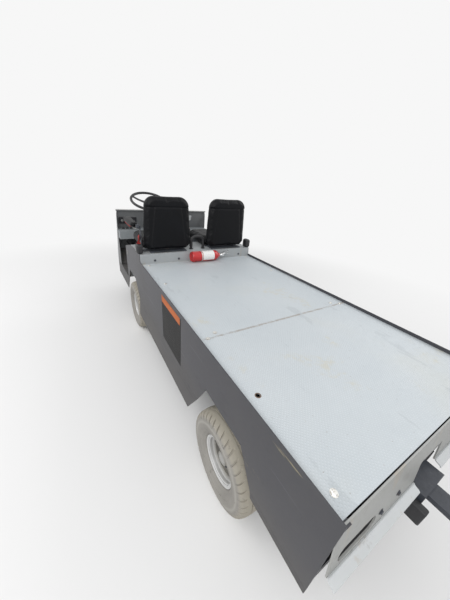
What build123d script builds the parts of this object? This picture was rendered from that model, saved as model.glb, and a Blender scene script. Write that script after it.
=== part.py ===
from build123d import *
import os

os.makedirs("parts", exist_ok=True)

# An electric utility vehicle: a flat steel load deck behind a bench-height seat box for two,
# a raked front cowl, four small pneumatic tyres and a rear drive axle.
# Millimetres. X points forward, Y to the driver's left, Z up. The origin is on the ground,
# under the middle of the overall length.

# Overall sizes
overall_length = 3570
body_width = 1140
deck_length = 2000
tow_reach = 200
lip_top_z = 830
deck_drop = 20
seat_box_rise = 65
floor_z = 460
rail_height = 50
skirt_z = 320
nose_skirt_z = 300
rear_skirt_z = 410
flare_fold_z = 430
flare_out = 30

# Sheet and section thicknesses
panel = 4
deck_plate = 5
sheet = 3
tube_wall = 4
bumper_plate = 5

# Clearances
seat_gap = 0.3
running_gap = 0.3
deck_seam = 1.2
rear_slit = 15
moving_gap = 6

# Wheels, tyres and axles
tyre_od = 500
tyre_width = 150
rim_flange_r = 126
rim_seat_r = 113
rim_width = 100
rim_wall = 4
rim_disc = 5
hub_r = 36
hub_length = 46
wheelbase = 1810
front_axle_x = 760
front_track = 1020
rear_track = 1030
axle_r = 32
kingpin_y = 395
kingpin_r = 10
spindle_r = 14
steering_arm = 120
tie_rod_r = 8

# Chassis
rail_width = 40
rail_y = 278
post_size = 40
bearer_depth = 40

# Derived planes
front_x = overall_length / 2
tow_end_x = -overall_length / 2
deck_rear_x = tow_end_x + tow_reach
deck_front_x = deck_rear_x + deck_length
half_width = body_width / 2
inner_y = half_width - panel
deck_z = lip_top_z - deck_drop
seat_top_z = lip_top_z + seat_box_rise
rail_top_z = floor_z - panel
rail_bottom_z = rail_top_z - rail_height
rear_axle_x = front_axle_x - wheelbase
axle_z = tyre_od / 2
sides = (("left", 1), ("right", -1))

# Front end
bumper_depth = 40
nose_x = front_x - bumper_depth
cowl_top_x = 1505
cowl_top_z = 1120
cowl_top_depth = 6
cowl_knee_z = 510
cowl_roll_r = 10
cowl_corner_r = 35
seat_front_x = 1055
seat_slope_x = 760
seat_nose_z = 815

# Side panel outline, as seen from the left
arch_top_z = 585
arch_r = 30
front_arch_top = (665, 925)
front_arch_foot = (430, 1115)
rear_arch_top = (-1195, -885)
rear_arch_foot = (-1305, -735)


def save(part, label):
    part.label = label
    export_step(part, f"parts/{label}.step")


def side_outline():
    with BuildSketch(Plane.XZ) as outline:
        with BuildLine():
            Polyline(
                (deck_rear_x, rear_skirt_z),
                (deck_rear_x, lip_top_z),
                (deck_front_x - sheet, lip_top_z),
                (deck_front_x + sheet, seat_top_z),
                (seat_slope_x, seat_top_z),
                (seat_front_x + sheet, seat_nose_z),
                (seat_front_x, floor_z),
                (nose_x - cowl_corner_r - seat_gap, floor_z),
                (nose_x - cowl_corner_r - seat_gap, nose_skirt_z),
                (front_arch_foot[1], nose_skirt_z),
                (front_arch_top[1], arch_top_z),
                (front_arch_top[0], arch_top_z),
                (front_arch_foot[0], skirt_z),
                (rear_arch_foot[1], skirt_z),
                (rear_arch_top[1], arch_top_z),
                (rear_arch_top[0], arch_top_z),
                (rear_arch_foot[0], rear_skirt_z),
                close=True,
            )
        make_face()
        arch_corners = outline.vertices().filter_by(
            lambda v: abs(v.Z - arch_top_z) < 0.01
        )
        fillet(arch_corners, radius=arch_r)
    return outline.sketch


# Body sides: a folded steel panel with a flared lower edge, and a ledge that carries the deck
ledge_width = 30
for side, sign in sides:
    with BuildPart() as body_side:
        with BuildSketch(Plane.YZ.offset(deck_rear_x)):
            with BuildLine():
                Polyline(
                    (sign * half_width, seat_top_z),
                    (sign * half_width, flare_fold_z),
                    (sign * (half_width + flare_out), skirt_z),
                    (sign * (inner_y + flare_out), skirt_z),
                    (sign * inner_y, flare_fold_z),
                    (sign * inner_y, seat_top_z),
                    close=True,
                )
            make_face()
        extrude(amount=front_axle_x - deck_rear_x)
        with BuildSketch(Plane.YZ.offset(front_axle_x)):
            with Locations((sign * (half_width - panel / 2), (nose_skirt_z + seat_top_z) / 2)):
                Rectangle(panel, seat_top_z - nose_skirt_z)
        extrude(amount=nose_x - front_axle_x)
        extrude(side_outline(), amount=2 * half_width, both=True, mode=Mode.INTERSECT)
        with BuildSketch(Plane.YZ.offset(deck_rear_x)):
            with Locations((sign * (inner_y - ledge_width / 2), deck_z - deck_plate - seat_gap - panel / 2)):
                Rectangle(ledge_width, panel)
        extrude(amount=deck_length - sheet - seat_gap)
    save(body_side.part, f"body_side_{side}")

# Load deck: two plates on the ledges and cross bearers, with a lifting hole in the rear one
seam_x = -780
lift_hole_r = 12
lift_hole = (-1175, 508)
deck_half = inner_y - seat_gap
deck_spans = (
    ("deck_plate_rear", deck_rear_x + rear_slit, seam_x - deck_seam / 2),
    ("deck_plate_front", seam_x + deck_seam / 2, deck_front_x - sheet - seat_gap),
)
for label, low_x, high_x in deck_spans:
    with BuildPart() as deck:
        with BuildSketch(Plane.XY.offset(deck_z - deck_plate)):
            with Locations(((low_x + high_x) / 2, 0)):
                Rectangle(high_x - low_x, 2 * deck_half)
            if low_x < lift_hole[0] < high_x:
                with Locations(lift_hole):
                    Circle(lift_hole_r, mode=Mode.SUBTRACT)
        extrude(amount=deck_plate)
    save(deck.part, label)

# Chassis: two rails, cross tubes, posts with deck bearers, and hangers for the springs
bearer_xs = (-1545, -1200, seam_x, -330, 45, 385)
cross_xs = (-1430, -1280, -600, 430, 1080, 1400, 1660)
bearer_top_z = deck_z - deck_plate - seat_gap
spring_leaf = 7
spring_leaves = 3
spring_width = 44
spring_half = 320
spring_top_z = axle_z + axle_r + spring_leaf * spring_leaves
slipper_length = 60
slipper_wall = 6
hitch_beam_z = 550
hitch_beam_height = 60
battery_x = (-280, 345)
rail_end_x = nose_x - sheet - 2 * seat_gap
with BuildPart() as chassis:
    with BuildSketch(Plane.YZ.offset(deck_rear_x)):
        with Locations((rail_y, rail_bottom_z + rail_height / 2), (-rail_y, rail_bottom_z + rail_height / 2)):
            Rectangle(rail_width, rail_height)
            Rectangle(rail_width - 2 * tube_wall, rail_height - 2 * tube_wall, mode=Mode.SUBTRACT)
    extrude(amount=rail_end_x - deck_rear_x)
    tube_inside = post_size - 2 * tube_wall
    for cross_x in cross_xs:
        cross_height = rail_height - 2 * tube_wall
        with Locations((cross_x, 0, rail_bottom_z + rail_height / 2)):
            Box(post_size, 2 * rail_y - rail_width, cross_height)
            Box(tube_inside, 2 * rail_y - rail_width, cross_height - 2 * tube_wall, mode=Mode.SUBTRACT)
    for bearer_x in bearer_xs:
        bearer_length = 2 * (inner_y - seat_gap - ledge_width - seat_gap)
        with Locations((bearer_x, 0, bearer_top_z - bearer_depth / 2)):
            Box(post_size, bearer_length, bearer_depth)
            Box(tube_inside, bearer_length, bearer_depth - 2 * tube_wall, mode=Mode.SUBTRACT)
        post_height = bearer_top_z - bearer_depth - rail_top_z
        for side, sign in sides:
            with Locations((bearer_x, sign * rail_y, rail_top_z + post_height / 2)):
                Box(post_size, rail_width, post_height)
            with Locations((bearer_x, sign * (rail_y - tube_wall), rail_top_z + post_height / 2)):
                Box(tube_inside, rail_width, post_height, mode=Mode.SUBTRACT)
    with Locations((deck_rear_x + post_size / 2, 0, hitch_beam_z)):
        hitch_beam_length = 2 * (inner_y - seat_gap)
        Box(post_size, hitch_beam_length, hitch_beam_height)
        Box(tube_inside, hitch_beam_length, hitch_beam_height - 2 * tube_wall, mode=Mode.SUBTRACT)
    for axle_x in (front_axle_x, rear_axle_x):
        for end in (-1, 1):
            for side, sign in sides:
                slipper_x = axle_x + end * (spring_half - slipper_length / 2)
                slipper_height = rail_bottom_z - spring_top_z - seat_gap
                slipper_z = (spring_top_z + seat_gap + rail_bottom_z) / 2
                with Locations((slipper_x, sign * rail_y, slipper_z)):
                    Box(slipper_length, rail_width, slipper_height)
                    Box(slipper_length - 2 * slipper_wall, rail_width, slipper_height - 2 * slipper_wall,
                        mode=Mode.SUBTRACT)
    with Locations((sum(battery_x) / 2, 0, rail_top_z - sheet / 2)):
        Box(battery_x[1] - battery_x[0], 2 * rail_y - rail_width, sheet)
save(chassis.part, "chassis_frame")

# Seat box: a folded sheet with the riser at the deck's front edge, a sloping front and a wall to the floor
with BuildPart() as seat_box:
    with BuildSketch(Plane.XZ) as box_section:
        with BuildLine():
            Polyline(
                (deck_front_x - sheet, bearer_top_z + seat_gap),
                (deck_front_x, seat_top_z),
                (seat_slope_x, seat_top_z),
                (seat_front_x, seat_nose_z),
                (seat_front_x, floor_z + seat_gap),
                (seat_front_x - sheet, floor_z + seat_gap),
                (seat_front_x - sheet, seat_nose_z - sheet),
                (seat_slope_x, seat_top_z - sheet),
                (deck_front_x + sheet, seat_top_z - sheet),
                (deck_front_x, bearer_top_z + seat_gap),
                close=True,
            )
        make_face()
    extrude(amount=inner_y - seat_gap, both=True)
save(seat_box.part, "seat_box")

# Rear bumper: a plate behind the deck with an outward lip, two long lamp slots and a notch for the hitch
bumper_foot_z = 598
bumper_lip = (36, 18)
lip_edge = (2, 4.5)
lamp_slot_y = 430
lamp_slot_z = 632
lamp_slot = (170, 50)
hitch_notch = 178
with BuildPart() as rear_bumper:
    with BuildSketch(Plane.XZ):
        with BuildLine():
            Polyline(
                (deck_rear_x - seat_gap, deck_z),
                (deck_rear_x - seat_gap, bumper_foot_z),
                (deck_rear_x - bumper_lip[0], bumper_foot_z - bumper_lip[1]),
                (deck_rear_x - bumper_lip[0] - lip_edge[0], bumper_foot_z - bumper_lip[1] + lip_edge[1]),
                (deck_rear_x - seat_gap - bumper_plate, bumper_foot_z + lip_edge[0]),
                (deck_rear_x - seat_gap - bumper_plate, deck_z),
                close=True,
            )
        make_face()
    extrude(amount=half_width, both=True)
    with BuildSketch(Plane.YZ.offset(deck_rear_x + 1)):
        with Locations((lamp_slot_y, lamp_slot_z), (-lamp_slot_y, lamp_slot_z)):
            SlotOverall(*lamp_slot)
    extrude(amount=-2 * bumper_plate, mode=Mode.SUBTRACT)
    with Locations((deck_rear_x - bumper_lip[0] - seat_gap - bumper_plate, 0, bumper_foot_z - bumper_lip[1] / 2)):
        Box(2 * bumper_lip[0], hitch_notch, bumper_lip[1] + 2 * bumper_plate, mode=Mode.SUBTRACT)
save(rear_bumper.part, "rear_bumper")

# Tow hitch: a channel block on the hitch beam, an end plate and a tongue with a pin hole
hitch_top_z = 572
hitch_block = (56, 160, 90)
hitch_end_plate = 12
tongue_width = 76
tongue_thick = 22
tow_pin_r = 13
tow_pin_back = 32
hitch_front_x = deck_rear_x - seat_gap
hitch_cheek_height = 60
with BuildPart() as hitch:
    with BuildSketch(Plane.XZ):
        with BuildLine():
            block_end_x = hitch_front_x - hitch_block[0]
            Polyline(
                (hitch_front_x, hitch_top_z),
                (block_end_x - hitch_end_plate, hitch_top_z),
                (block_end_x - hitch_end_plate, hitch_top_z - hitch_block[2]),
                (block_end_x, hitch_top_z - hitch_block[2]),
                (block_end_x, hitch_top_z - hitch_end_plate),
                (hitch_front_x, hitch_top_z - hitch_end_plate),
                close=True,
            )
        make_face()
    extrude(amount=hitch_block[1] / 2, both=True)
    for side, sign in sides:
        cheek_y = sign * (hitch_block[1] - hitch_end_plate) / 2
        with Locations((hitch_front_x - hitch_block[0] / 2, cheek_y, hitch_top_z - hitch_cheek_height / 2)):
            Box(hitch_block[0], hitch_end_plate, hitch_cheek_height)
    with BuildSketch(Plane.XY.offset(hitch_top_z - hitch_block[2] / 2)):
        tongue_start_x = block_end_x - hitch_end_plate
        tongue_length = tongue_start_x - tow_end_x
        with Locations((tongue_start_x - (tongue_length - tongue_width / 2) / 2, 0)):
            Rectangle(tongue_length - tongue_width / 2, tongue_width)
        with Locations((tow_end_x + tongue_width / 2, 0)):
            Circle(tongue_width / 2)
        with Locations((tow_end_x + tow_pin_back, 0)):
            Circle(tow_pin_r, mode=Mode.SUBTRACT)
    extrude(amount=tongue_thick)
save(hitch.part, "tow_hitch")

# Floor pan: a flat plate from the seat box to a toe board that meets the cowl's raked front
cowl_slope = (nose_x - cowl_top_x - cowl_top_depth) / (cowl_top_z - cowl_knee_z)
toe_start_x = 1540
toe_reach = nose_x - sheet * 1.1 - seat_gap - panel - toe_start_x
toe_rise = (toe_reach + cowl_slope * (cowl_knee_z - floor_z)) / (1 + cowl_slope)
with BuildPart() as floor_pan:
    with Locations(((seat_front_x + seat_gap + toe_start_x) / 2, 0, floor_z - panel / 2)):
        Box(toe_start_x - seat_front_x - seat_gap, 2 * (inner_y - seat_gap), panel)
    with BuildSketch(Plane.XZ):
        with BuildLine():
            Polyline(
                (toe_start_x - panel, floor_z),
                (toe_start_x, floor_z),
                (toe_start_x + toe_rise, floor_z + toe_rise),
                (toe_start_x + toe_rise + panel, floor_z + toe_rise),
                (toe_start_x + panel, floor_z - panel),
                (toe_start_x - panel, floor_z - panel),
                close=True,
            )
        make_face()
    extrude(amount=half_width - cowl_corner_r - seat_gap, both=True)
save(floor_pan.part, "floor_pan")

# Cowl: a folded shell, open at the back, with a rolled top edge and a nose skirt


def cowl_front_x(z):
    return nose_x - cowl_slope * max(z - cowl_knee_z, 0)


with BuildPart() as cowl:
    with BuildSketch(Plane.XZ):
        with BuildLine():
            Polyline(
                (cowl_top_x, cowl_top_z),
                (cowl_top_x + cowl_top_depth, cowl_top_z),
                (nose_x, cowl_knee_z),
                (nose_x, nose_skirt_z),
                (cowl_top_x, nose_skirt_z),
                close=True,
            )
        make_face()
    extrude(amount=half_width, both=True)
    front_edges = cowl.edges().filter_by(
        lambda e: e.center().X > cowl_top_x + cowl_top_depth and abs(e.tangent_at(0.5).Y) < 0.1
    ).filter_by(lambda e: e.bounding_box().min.X > cowl_top_x + 1)
    fillet(front_edges, radius=cowl_corner_r)
    openings = cowl.faces().filter_by(
        lambda f: abs(f.center().X - cowl_top_x) < 0.1 or abs(f.center().Z - nose_skirt_z) < 0.1
    )
    offset(amount=-sheet, openings=openings)
    with Locations(((cowl_top_x + nose_x - cowl_corner_r) / 2 - 100, 0, (nose_skirt_z + floor_z) / 2 - 50)):
        Box(nose_x - cowl_corner_r - cowl_top_x + 200, body_width + 10, floor_z - nose_skirt_z + 100 + 2 * seat_gap,
            mode=Mode.SUBTRACT)
    with Locations(Location((cowl_top_x, 0, cowl_top_z - cowl_roll_r), (90, 0, 0))):
        Cylinder(cowl_roll_r, body_width)
save(cowl.part, "cowl_shell")

# Dash: a storage shelf inside the cowl, a lower panel facing the seats and a gusset at each end
shelf_z = 890
shelf_rear_x = 1395
dash_foot_z = 800
shelf_front_x = cowl_front_x(shelf_z) - sheet * 1.1 - seat_gap
cheek_inner_y = half_width - sheet - seat_gap
with BuildPart() as dash:
    with BuildSketch(Plane.XZ):
        with BuildLine():
            Polyline(
                (shelf_rear_x, dash_foot_z),
                (shelf_rear_x, shelf_z),
                (shelf_front_x, shelf_z),
                (shelf_front_x, shelf_z - sheet),
                (shelf_rear_x + sheet, shelf_z - sheet),
                (shelf_rear_x + sheet, dash_foot_z),
                close=True,
            )
        make_face()
    extrude(amount=cheek_inner_y, both=True)
    fillet(dash.edges().filter_by(Axis.Z).group_by(Axis.X)[-1], radius=cowl_corner_r)
    for side, sign in sides:
        with BuildSketch(Plane.XZ.offset(-sign * cheek_inner_y)):
            with BuildLine():
                Polyline(
                    (shelf_rear_x, dash_foot_z),
                    (shelf_rear_x, shelf_z),
                    (cowl_top_x + post_size, shelf_z),
                    (cowl_top_x, dash_foot_z),
                    close=True,
                )
            make_face()
        extrude(amount=sign * sheet)
save(dash.part, "dash_panel")

# Front bumper: a channel bar with rounded ends across the nose
bumper_half = 480
bumper_height = 100
bumper_z = 395
with BuildPart() as front_bumper:
    with BuildSketch(Plane.XY.offset(bumper_z - bumper_height / 2)):
        with Locations(((nose_x + front_x + seat_gap) / 2, 0)):
            RectangleRounded(bumper_depth - seat_gap, 2 * bumper_half, bumper_depth / 3)
    extrude(amount=bumper_height)
save(front_bumper.part, "front_bumper")

# Headlamps: round housings cut to the slope of the cowl
lamp_r = 62
lamp_y = 400
lamp_z = 710
lamp_stand = 26
cowl_plane = Plane(
    origin=(nose_x + seat_gap, 0, cowl_knee_z),
    x_dir=(0, 1, 0),
    z_dir=(1, 0, cowl_slope),
)
for side, sign in sides:
    with BuildPart() as lamp:
        lamp_face_x = cowl_front_x(lamp_z) + lamp_stand
        with BuildSketch(Plane.YZ.offset(lamp_face_x)):
            with Locations((sign * lamp_y, lamp_z)):
                Circle(lamp_r)
        extrude(amount=-3 * lamp_stand)
        fillet(lamp.faces().sort_by(Axis.X)[-1].edges(), radius=6)
        split(bisect_by=cowl_plane, keep=Keep.TOP)
    save(lamp.part, f"headlamp_{side}")

# Seats: base and back cushions on a steel frame whose runners follow the seat box
seat_y = 300
seat_width = 440
base_front_x = 955
base_rear_x = 535
base_thick = 92
base_corner = 45
base_crown = 22
seat_pan_rise = 12
seat_pan_z = seat_top_z + seat_pan_rise
back_top_z = 1374
back_thick = 88
back_foot_x = 436
back_corner = 90
back_front_round = 24
back_raise = 12
back_roll_height = 100
back_cut = 40
panel_foot_half = 158
panel_top_half = 112
post_width = 34
post_height = 220
armrest_back = 84
armrest_rise = 205
armrest_boss = (6, 28)
seats = (("driver", 1), ("passenger", -1))
runner_y = 150
runner_width = 34
for seat, sign in seats:
    with BuildPart() as frame:
        with BuildSketch(Plane.XZ.offset(-sign * seat_y)):
            with BuildLine():
                runner_front_x = base_front_x - 30
                runner_foot_z = seat_top_z - (runner_front_x - seat_slope_x) * (
                    (seat_top_z - seat_nose_z) / (seat_front_x - seat_slope_x)
                )
                Polyline(
                    (back_foot_x, seat_pan_z),
                    (back_foot_x, seat_top_z + seat_gap),
                    (seat_slope_x, seat_top_z + seat_gap),
                    (runner_front_x, runner_foot_z + seat_gap),
                    (runner_front_x, seat_pan_z),
                    close=True,
                )
            make_face()
        extrude(amount=runner_y + runner_width / 2, both=True)
        with Locations(((back_foot_x + runner_front_x) / 2, sign * seat_y, seat_pan_z - sheet)):
            Box(
                2 * (runner_front_x - back_foot_x),
                2 * runner_y - runner_width,
                seat_pan_z,
                align=(Align.CENTER, Align.CENTER, Align.MAX),
                mode=Mode.SUBTRACT,
            )
        if seat == "driver":
            post_y = sign * (seat_y + seat_width / 2 + moving_gap)
            armrest_x = back_foot_x + armrest_back
            armrest_z = seat_top_z + seat_gap + armrest_rise
            with Locations((armrest_x, post_y, seat_top_z + seat_gap + post_height / 2)):
                Box(post_width, moving_gap, post_height)
            with Locations((armrest_x, (post_y + seat_y + runner_y) / 2, seat_pan_z - sheet / 2)):
                Box(post_width, post_y - seat_y - runner_y, sheet)
            with Locations(Location((armrest_x, post_y + armrest_boss[1] / 2, armrest_z), (90, 0, 0))):
                Cylinder(*armrest_boss)
    save(frame.part, f"seat_frame_{seat}")
    with BuildPart() as base:
        with Locations(((base_front_x + base_rear_x) / 2, sign * seat_y, seat_pan_z + seat_gap + base_thick / 2)):
            Box(base_front_x - base_rear_x, seat_width, base_thick)
        fillet(base.edges().filter_by(Axis.Z), radius=base_corner)
        fillet(base.faces().sort_by(Axis.Z)[-1].edges(), radius=base_crown)
    save(base.part, f"seat_base_{seat}")
    with BuildPart() as back:
        back_plane = Plane(
            origin=(back_foot_x + back_raise, sign * seat_y, seat_pan_z + seat_gap),
            x_dir=(0, 1, 0),
            z_dir=(1, 0, 0),
        )
        back_height = back_top_z - seat_pan_z - seat_gap
        with BuildSketch(back_plane) as back_outline:
            with BuildLine():
                Polyline(
                    (-seat_width / 2 + back_cut, 0),
                    (-seat_width / 2, back_cut),
                    (-seat_width / 2 + 8, 0.6 * back_height),
                    (-seat_width / 2 + 34, back_height),
                    (seat_width / 2 - 34, back_height),
                    (seat_width / 2 - 8, 0.6 * back_height),
                    (seat_width / 2, back_cut),
                    (seat_width / 2 - back_cut, 0),
                    close=True,
                )
            back_face = make_face()
            fillet(
                back_face.vertices().filter_by(lambda v: v.Y > back_height - 1),
                radius=back_corner,
            )
        extrude(amount=back_thick - back_raise)
        fillet(back.faces().sort_by(Axis.X)[-1].edges(), radius=back_front_round)
        with BuildSketch(back_plane):
            with BuildLine():
                Polyline(
                    (-panel_foot_half, back_raise),
                    (-panel_top_half, back_height - back_roll_height),
                    (panel_top_half, back_height - back_roll_height),
                    (panel_foot_half, back_raise),
                    close=True,
                )
            make_face()
        extrude(amount=-back_raise, taper=30)
        with BuildSketch(back_plane):
            add(back_outline.sketch_local)
            with Locations((0, (back_height - back_roll_height) / 2)):
                Rectangle(2 * seat_width, back_height - back_roll_height, mode=Mode.SUBTRACT)
        extrude(amount=-back_raise, taper=30)
    save(back.part, f"seat_back_{seat}")

# Armrest: a tapered pad on a bar that folds up about a pin at its rear end
arm_length = 380
arm_pad_width = 50
arm_pad_thick = 34
arm_inner_y = post_y + moving_gap / 2 + moving_gap
with BuildPart() as armrest:
    with BuildSketch(Plane.XZ.offset(-arm_inner_y)):
        with BuildLine():
            Polyline(
                (armrest_x - 18, armrest_z - 14),
                (armrest_x - 18, armrest_z + 14),
                (armrest_x + 40, armrest_z + arm_pad_thick),
                (armrest_x + arm_length, armrest_z + arm_pad_thick),
                (armrest_x + arm_length, armrest_z + arm_pad_thick - 26),
                (armrest_x + 60, armrest_z - 14),
                close=True,
            )
        arm_face = make_face()
        fillet(arm_face.vertices(), radius=8)
    extrude(amount=-arm_pad_width)
    with Locations(Location((armrest_x, arm_inner_y - moving_gap / 2 + seat_gap, armrest_z), (90, 0, 0))):
        Cylinder(13, moving_gap)
    with Locations(Location((armrest_x, arm_inner_y, armrest_z), (90, 0, 0))):
        Cylinder(6 + running_gap, 60, mode=Mode.SUBTRACT)
save(armrest.part, "armrest")

# Belt retractors at the outer rear corners of the seat box
retractor = (78, 52, 82)
for side, sign in sides:
    with BuildPart() as belt_box:
        with Locations((deck_front_x + sheet + retractor[0] / 2, sign * (half_width - retractor[1] / 2 + 14),
                        seat_top_z + seat_gap + retractor[2] / 2)):
            Box(*retractor)
        fillet(belt_box.edges().filter_by(Axis.Y), radius=18)
    save(belt_box.part, f"belt_retractor_{side}")

# Hip restraint: a padded hoop between the seats
hoop_half = 62
hoop_r = 13
hoop_top_z = 1025
hoop_x = 500
hoop_bend = 45
with BuildPart() as hoop:
    with BuildLine(Plane.YZ.offset(hoop_x)) as hoop_path:
        FilletPolyline(
            (-hoop_half, seat_top_z + seat_gap),
            (-hoop_half, hoop_top_z - hoop_r),
            (hoop_half, hoop_top_z - hoop_r),
            (hoop_half, seat_top_z + seat_gap),
            radius=hoop_bend,
        )
    with BuildSketch(Plane.XY.offset(seat_top_z + seat_gap)):
        with Locations((hoop_x, -hoop_half)):
            Circle(hoop_r)
    sweep()
save(hoop.part, "hip_restraint")

# Steering: a raked column on the floor with a brace to the dash, and a three-spoke wheel
wheel_x = 1065
wheel_z = 1260
wheel_y = 300
column_rake = 22
wheel_r = 185
wheel_rim_r = 13
column_r = 22
hub_drop = 24
spoke_width = 24
column_plane = Plane(
    origin=(wheel_x, wheel_y, wheel_z),
    x_dir=(0, 1, 0),
    z_dir=Vector(0, 0, 1).rotate(Axis.Y, -column_rake),
)
with BuildPart() as column:
    with BuildSketch(column_plane.offset(-hub_drop - 30)):
        Circle(column_r)
    extrude(amount=-1000)
    with BuildSketch(column_plane.offset(-hub_drop - 30)):
        Circle(kingpin_r)
    extrude(amount=42)
    split(bisect_by=Plane.XY.offset(floor_z + seat_gap), keep=Keep.TOP)
    foot = column.faces().sort_by(Axis.Z)[0].center()
    with Locations((foot.X, foot.Y, floor_z + seat_gap + sheet)):
        Box(110, 110, 2 * sheet)
    brace_z = (shelf_z + dash_foot_z) / 2
    brace_rear_x = foot.X - (brace_z - floor_z) * (foot.X - wheel_x) / (wheel_z - floor_z)
    with Locations(((brace_rear_x + shelf_rear_x - seat_gap) / 2, wheel_y, brace_z)):
        Box(shelf_rear_x - seat_gap - brace_rear_x, 60, 2 * sheet)
save(column.part, "steering_column")

with BuildPart() as steering_wheel:
    with BuildSketch(Plane(column_plane.origin, x_dir=(0, 1, 0), z_dir=Vector(1, 0, 0).rotate(Axis.Y, -column_rake))):
        with Locations((wheel_r - wheel_rim_r, 0)):
            Circle(wheel_rim_r)
    revolve(axis=Axis(column_plane.origin, column_plane.z_dir))
    with BuildSketch(column_plane.offset(-hub_drop)):
        Circle(30)
    extrude(amount=28)
    with BuildSketch(column_plane.offset(-sheet)):
        with PolarLocations((wheel_r - wheel_rim_r) / 2, 3, start_angle=90):
            Rectangle(wheel_r - wheel_rim_r, spoke_width)
    extrude(amount=2 * sheet)
    with BuildSketch(column_plane.offset(-hub_drop - 1)):
        Circle(kingpin_r + running_gap)
    extrude(amount=16, mode=Mode.SUBTRACT)
save(steering_wheel.part, "steering_wheel")

# Axles: each carries a pair of flat leaf springs that slide under the frame's hangers
pad_length = 60


def leaf_springs(axle_x):
    for side, sign in sides:
        with Locations((axle_x, sign * rail_y, axle_z + axle_r / 2)):
            Box(pad_length, spring_width, axle_r)
        for leaf in range(spring_leaves):
            leaf_half = spring_half * (1 - 0.25 * (spring_leaves - 1 - leaf))
            with Locations((axle_x, sign * rail_y, axle_z + axle_r + spring_leaf * (leaf + 0.5))):
                Box(2 * leaf_half, spring_width, spring_leaf)


eye_r = 24
eye_height = 60
ear = 12
web_y = 30
beam_end_y = kingpin_y - 40
with BuildPart() as front_axle:
    with BuildSketch(Plane.XZ):
        with Locations((front_axle_x, axle_z)):
            Circle(axle_r)
    extrude(amount=beam_end_y, both=True)
    with BuildSketch(Plane.XZ):
        with Locations((front_axle_x, axle_z)):
            Circle(eye_r - 3)
    extrude(amount=kingpin_y, both=True)
    with BuildSketch(Plane.XY.offset(axle_z - eye_height / 2)):
        with Locations((front_axle_x, kingpin_y), (front_axle_x, -kingpin_y)):
            Circle(eye_r)
    extrude(amount=eye_height)
    leaf_springs(front_axle_x)
    with BuildSketch(Plane.XY.offset(axle_z - eye_height)):
        with Locations((front_axle_x, kingpin_y), (front_axle_x, -kingpin_y)):
            Circle(kingpin_r + running_gap)
    extrude(amount=2 * eye_height, mode=Mode.SUBTRACT)
save(front_axle.part, "front_axle")

# Steering knuckles: a fork on the kingpin, a spindle for the wheel and an arm for the tie rod
front_wheel_y = front_track / 2
rear_wheel_y = rear_track / 2
fork_half = eye_height / 2 + running_gap + ear
stud_height = 26
for side, sign in sides:
    with BuildPart() as knuckle:
        with BuildSketch(Plane.XY.offset(axle_z - fork_half)):
            with Locations((front_axle_x, sign * (kingpin_y + web_y / 2 + ear / 4))):
                Rectangle(2 * 20, web_y + ear * 1.5)
            with Locations((front_axle_x, sign * kingpin_y)):
                Circle(20)
        extrude(amount=2 * fork_half)
        with Locations((front_axle_x, sign * (kingpin_y + web_y / 2 - 30), axle_z)):
            Box(80, web_y + 60, eye_height + 2 * running_gap, mode=Mode.SUBTRACT)
        with BuildSketch(Plane.XY.offset(axle_z - fork_half)):
            with Locations((front_axle_x, sign * kingpin_y)):
                Circle(kingpin_r)
        extrude(amount=2 * fork_half)
        with BuildSketch(Plane.XZ.offset(-sign * (kingpin_y + web_y))):
            with Locations((front_axle_x, axle_z)):
                Circle(spindle_r)
        extrude(amount=-sign * (front_wheel_y + 8 - kingpin_y - web_y))
        with Locations((front_axle_x - (steering_arm + 12) / 2, sign * kingpin_y, axle_z - fork_half + ear / 2)):
            Box(steering_arm + 12, 24, ear)
        with BuildSketch(Plane.XY.offset(axle_z - fork_half + ear)):
            with Locations((front_axle_x - steering_arm, sign * kingpin_y)):
                Circle(tie_rod_r)
        extrude(amount=stud_height)
    save(knuckle.part, f"knuckle_{side}")

# Tie rod: joins the two steering arms above them
tie_z = axle_z - fork_half + ear + stud_height / 2
with BuildPart() as tie_rod:
    with BuildSketch(Plane.XZ.offset(-(kingpin_y - 10))):
        with Locations((front_axle_x - steering_arm, tie_z)):
            Circle(tie_rod_r)
    extrude(amount=2 * (kingpin_y - 10))
    with BuildSketch(Plane.XY.offset(tie_z - 9)):
        with Locations((front_axle_x - steering_arm, kingpin_y), (front_axle_x - steering_arm, -kingpin_y)):
            Circle(15)
    extrude(amount=18)
    with BuildSketch(Plane.XY.offset(tie_z - 20)):
        with Locations((front_axle_x - steering_arm, kingpin_y), (front_axle_x - steering_arm, -kingpin_y)):
            Circle(tie_rod_r + running_gap)
    extrude(amount=40, mode=Mode.SUBTRACT)
save(tie_rod.part, "tie_rod")

# Rear drive axle: a tube with a central gear case, and the motor bolted to the case's front
case_r = 96
case_width = 130
case_front_x = rear_axle_x + case_r
with BuildPart() as rear_axle:
    with BuildSketch(Plane.XZ):
        with Locations((rear_axle_x, axle_z)):
            Circle(axle_r)
    extrude(amount=rear_wheel_y - 70, both=True)
    with BuildSketch(Plane.XZ):
        with Locations((rear_axle_x, axle_z)):
            Circle(spindle_r)
    extrude(amount=rear_wheel_y + 8, both=True)
    with BuildSketch(Plane.XZ):
        with Locations((rear_axle_x, axle_z)):
            Circle(case_r)
        with Locations((rear_axle_x + case_r / 2, axle_z)):
            Rectangle(case_r, 1.5 * case_r)
    extrude(amount=case_width / 2, both=True)
    leaf_springs(rear_axle_x)
save(rear_axle.part, "rear_axle")

motor_r = 80
motor_length = 270
with BuildPart() as motor:
    with BuildSketch(Plane.YZ.offset(case_front_x)):
        with Locations((0, axle_z)):
            Circle(motor_r)
    extrude(amount=motor_length)
    fillet(motor.faces().sort_by(Axis.X)[-1].edges(), radius=12)
save(motor.part, "drive_motor")

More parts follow.
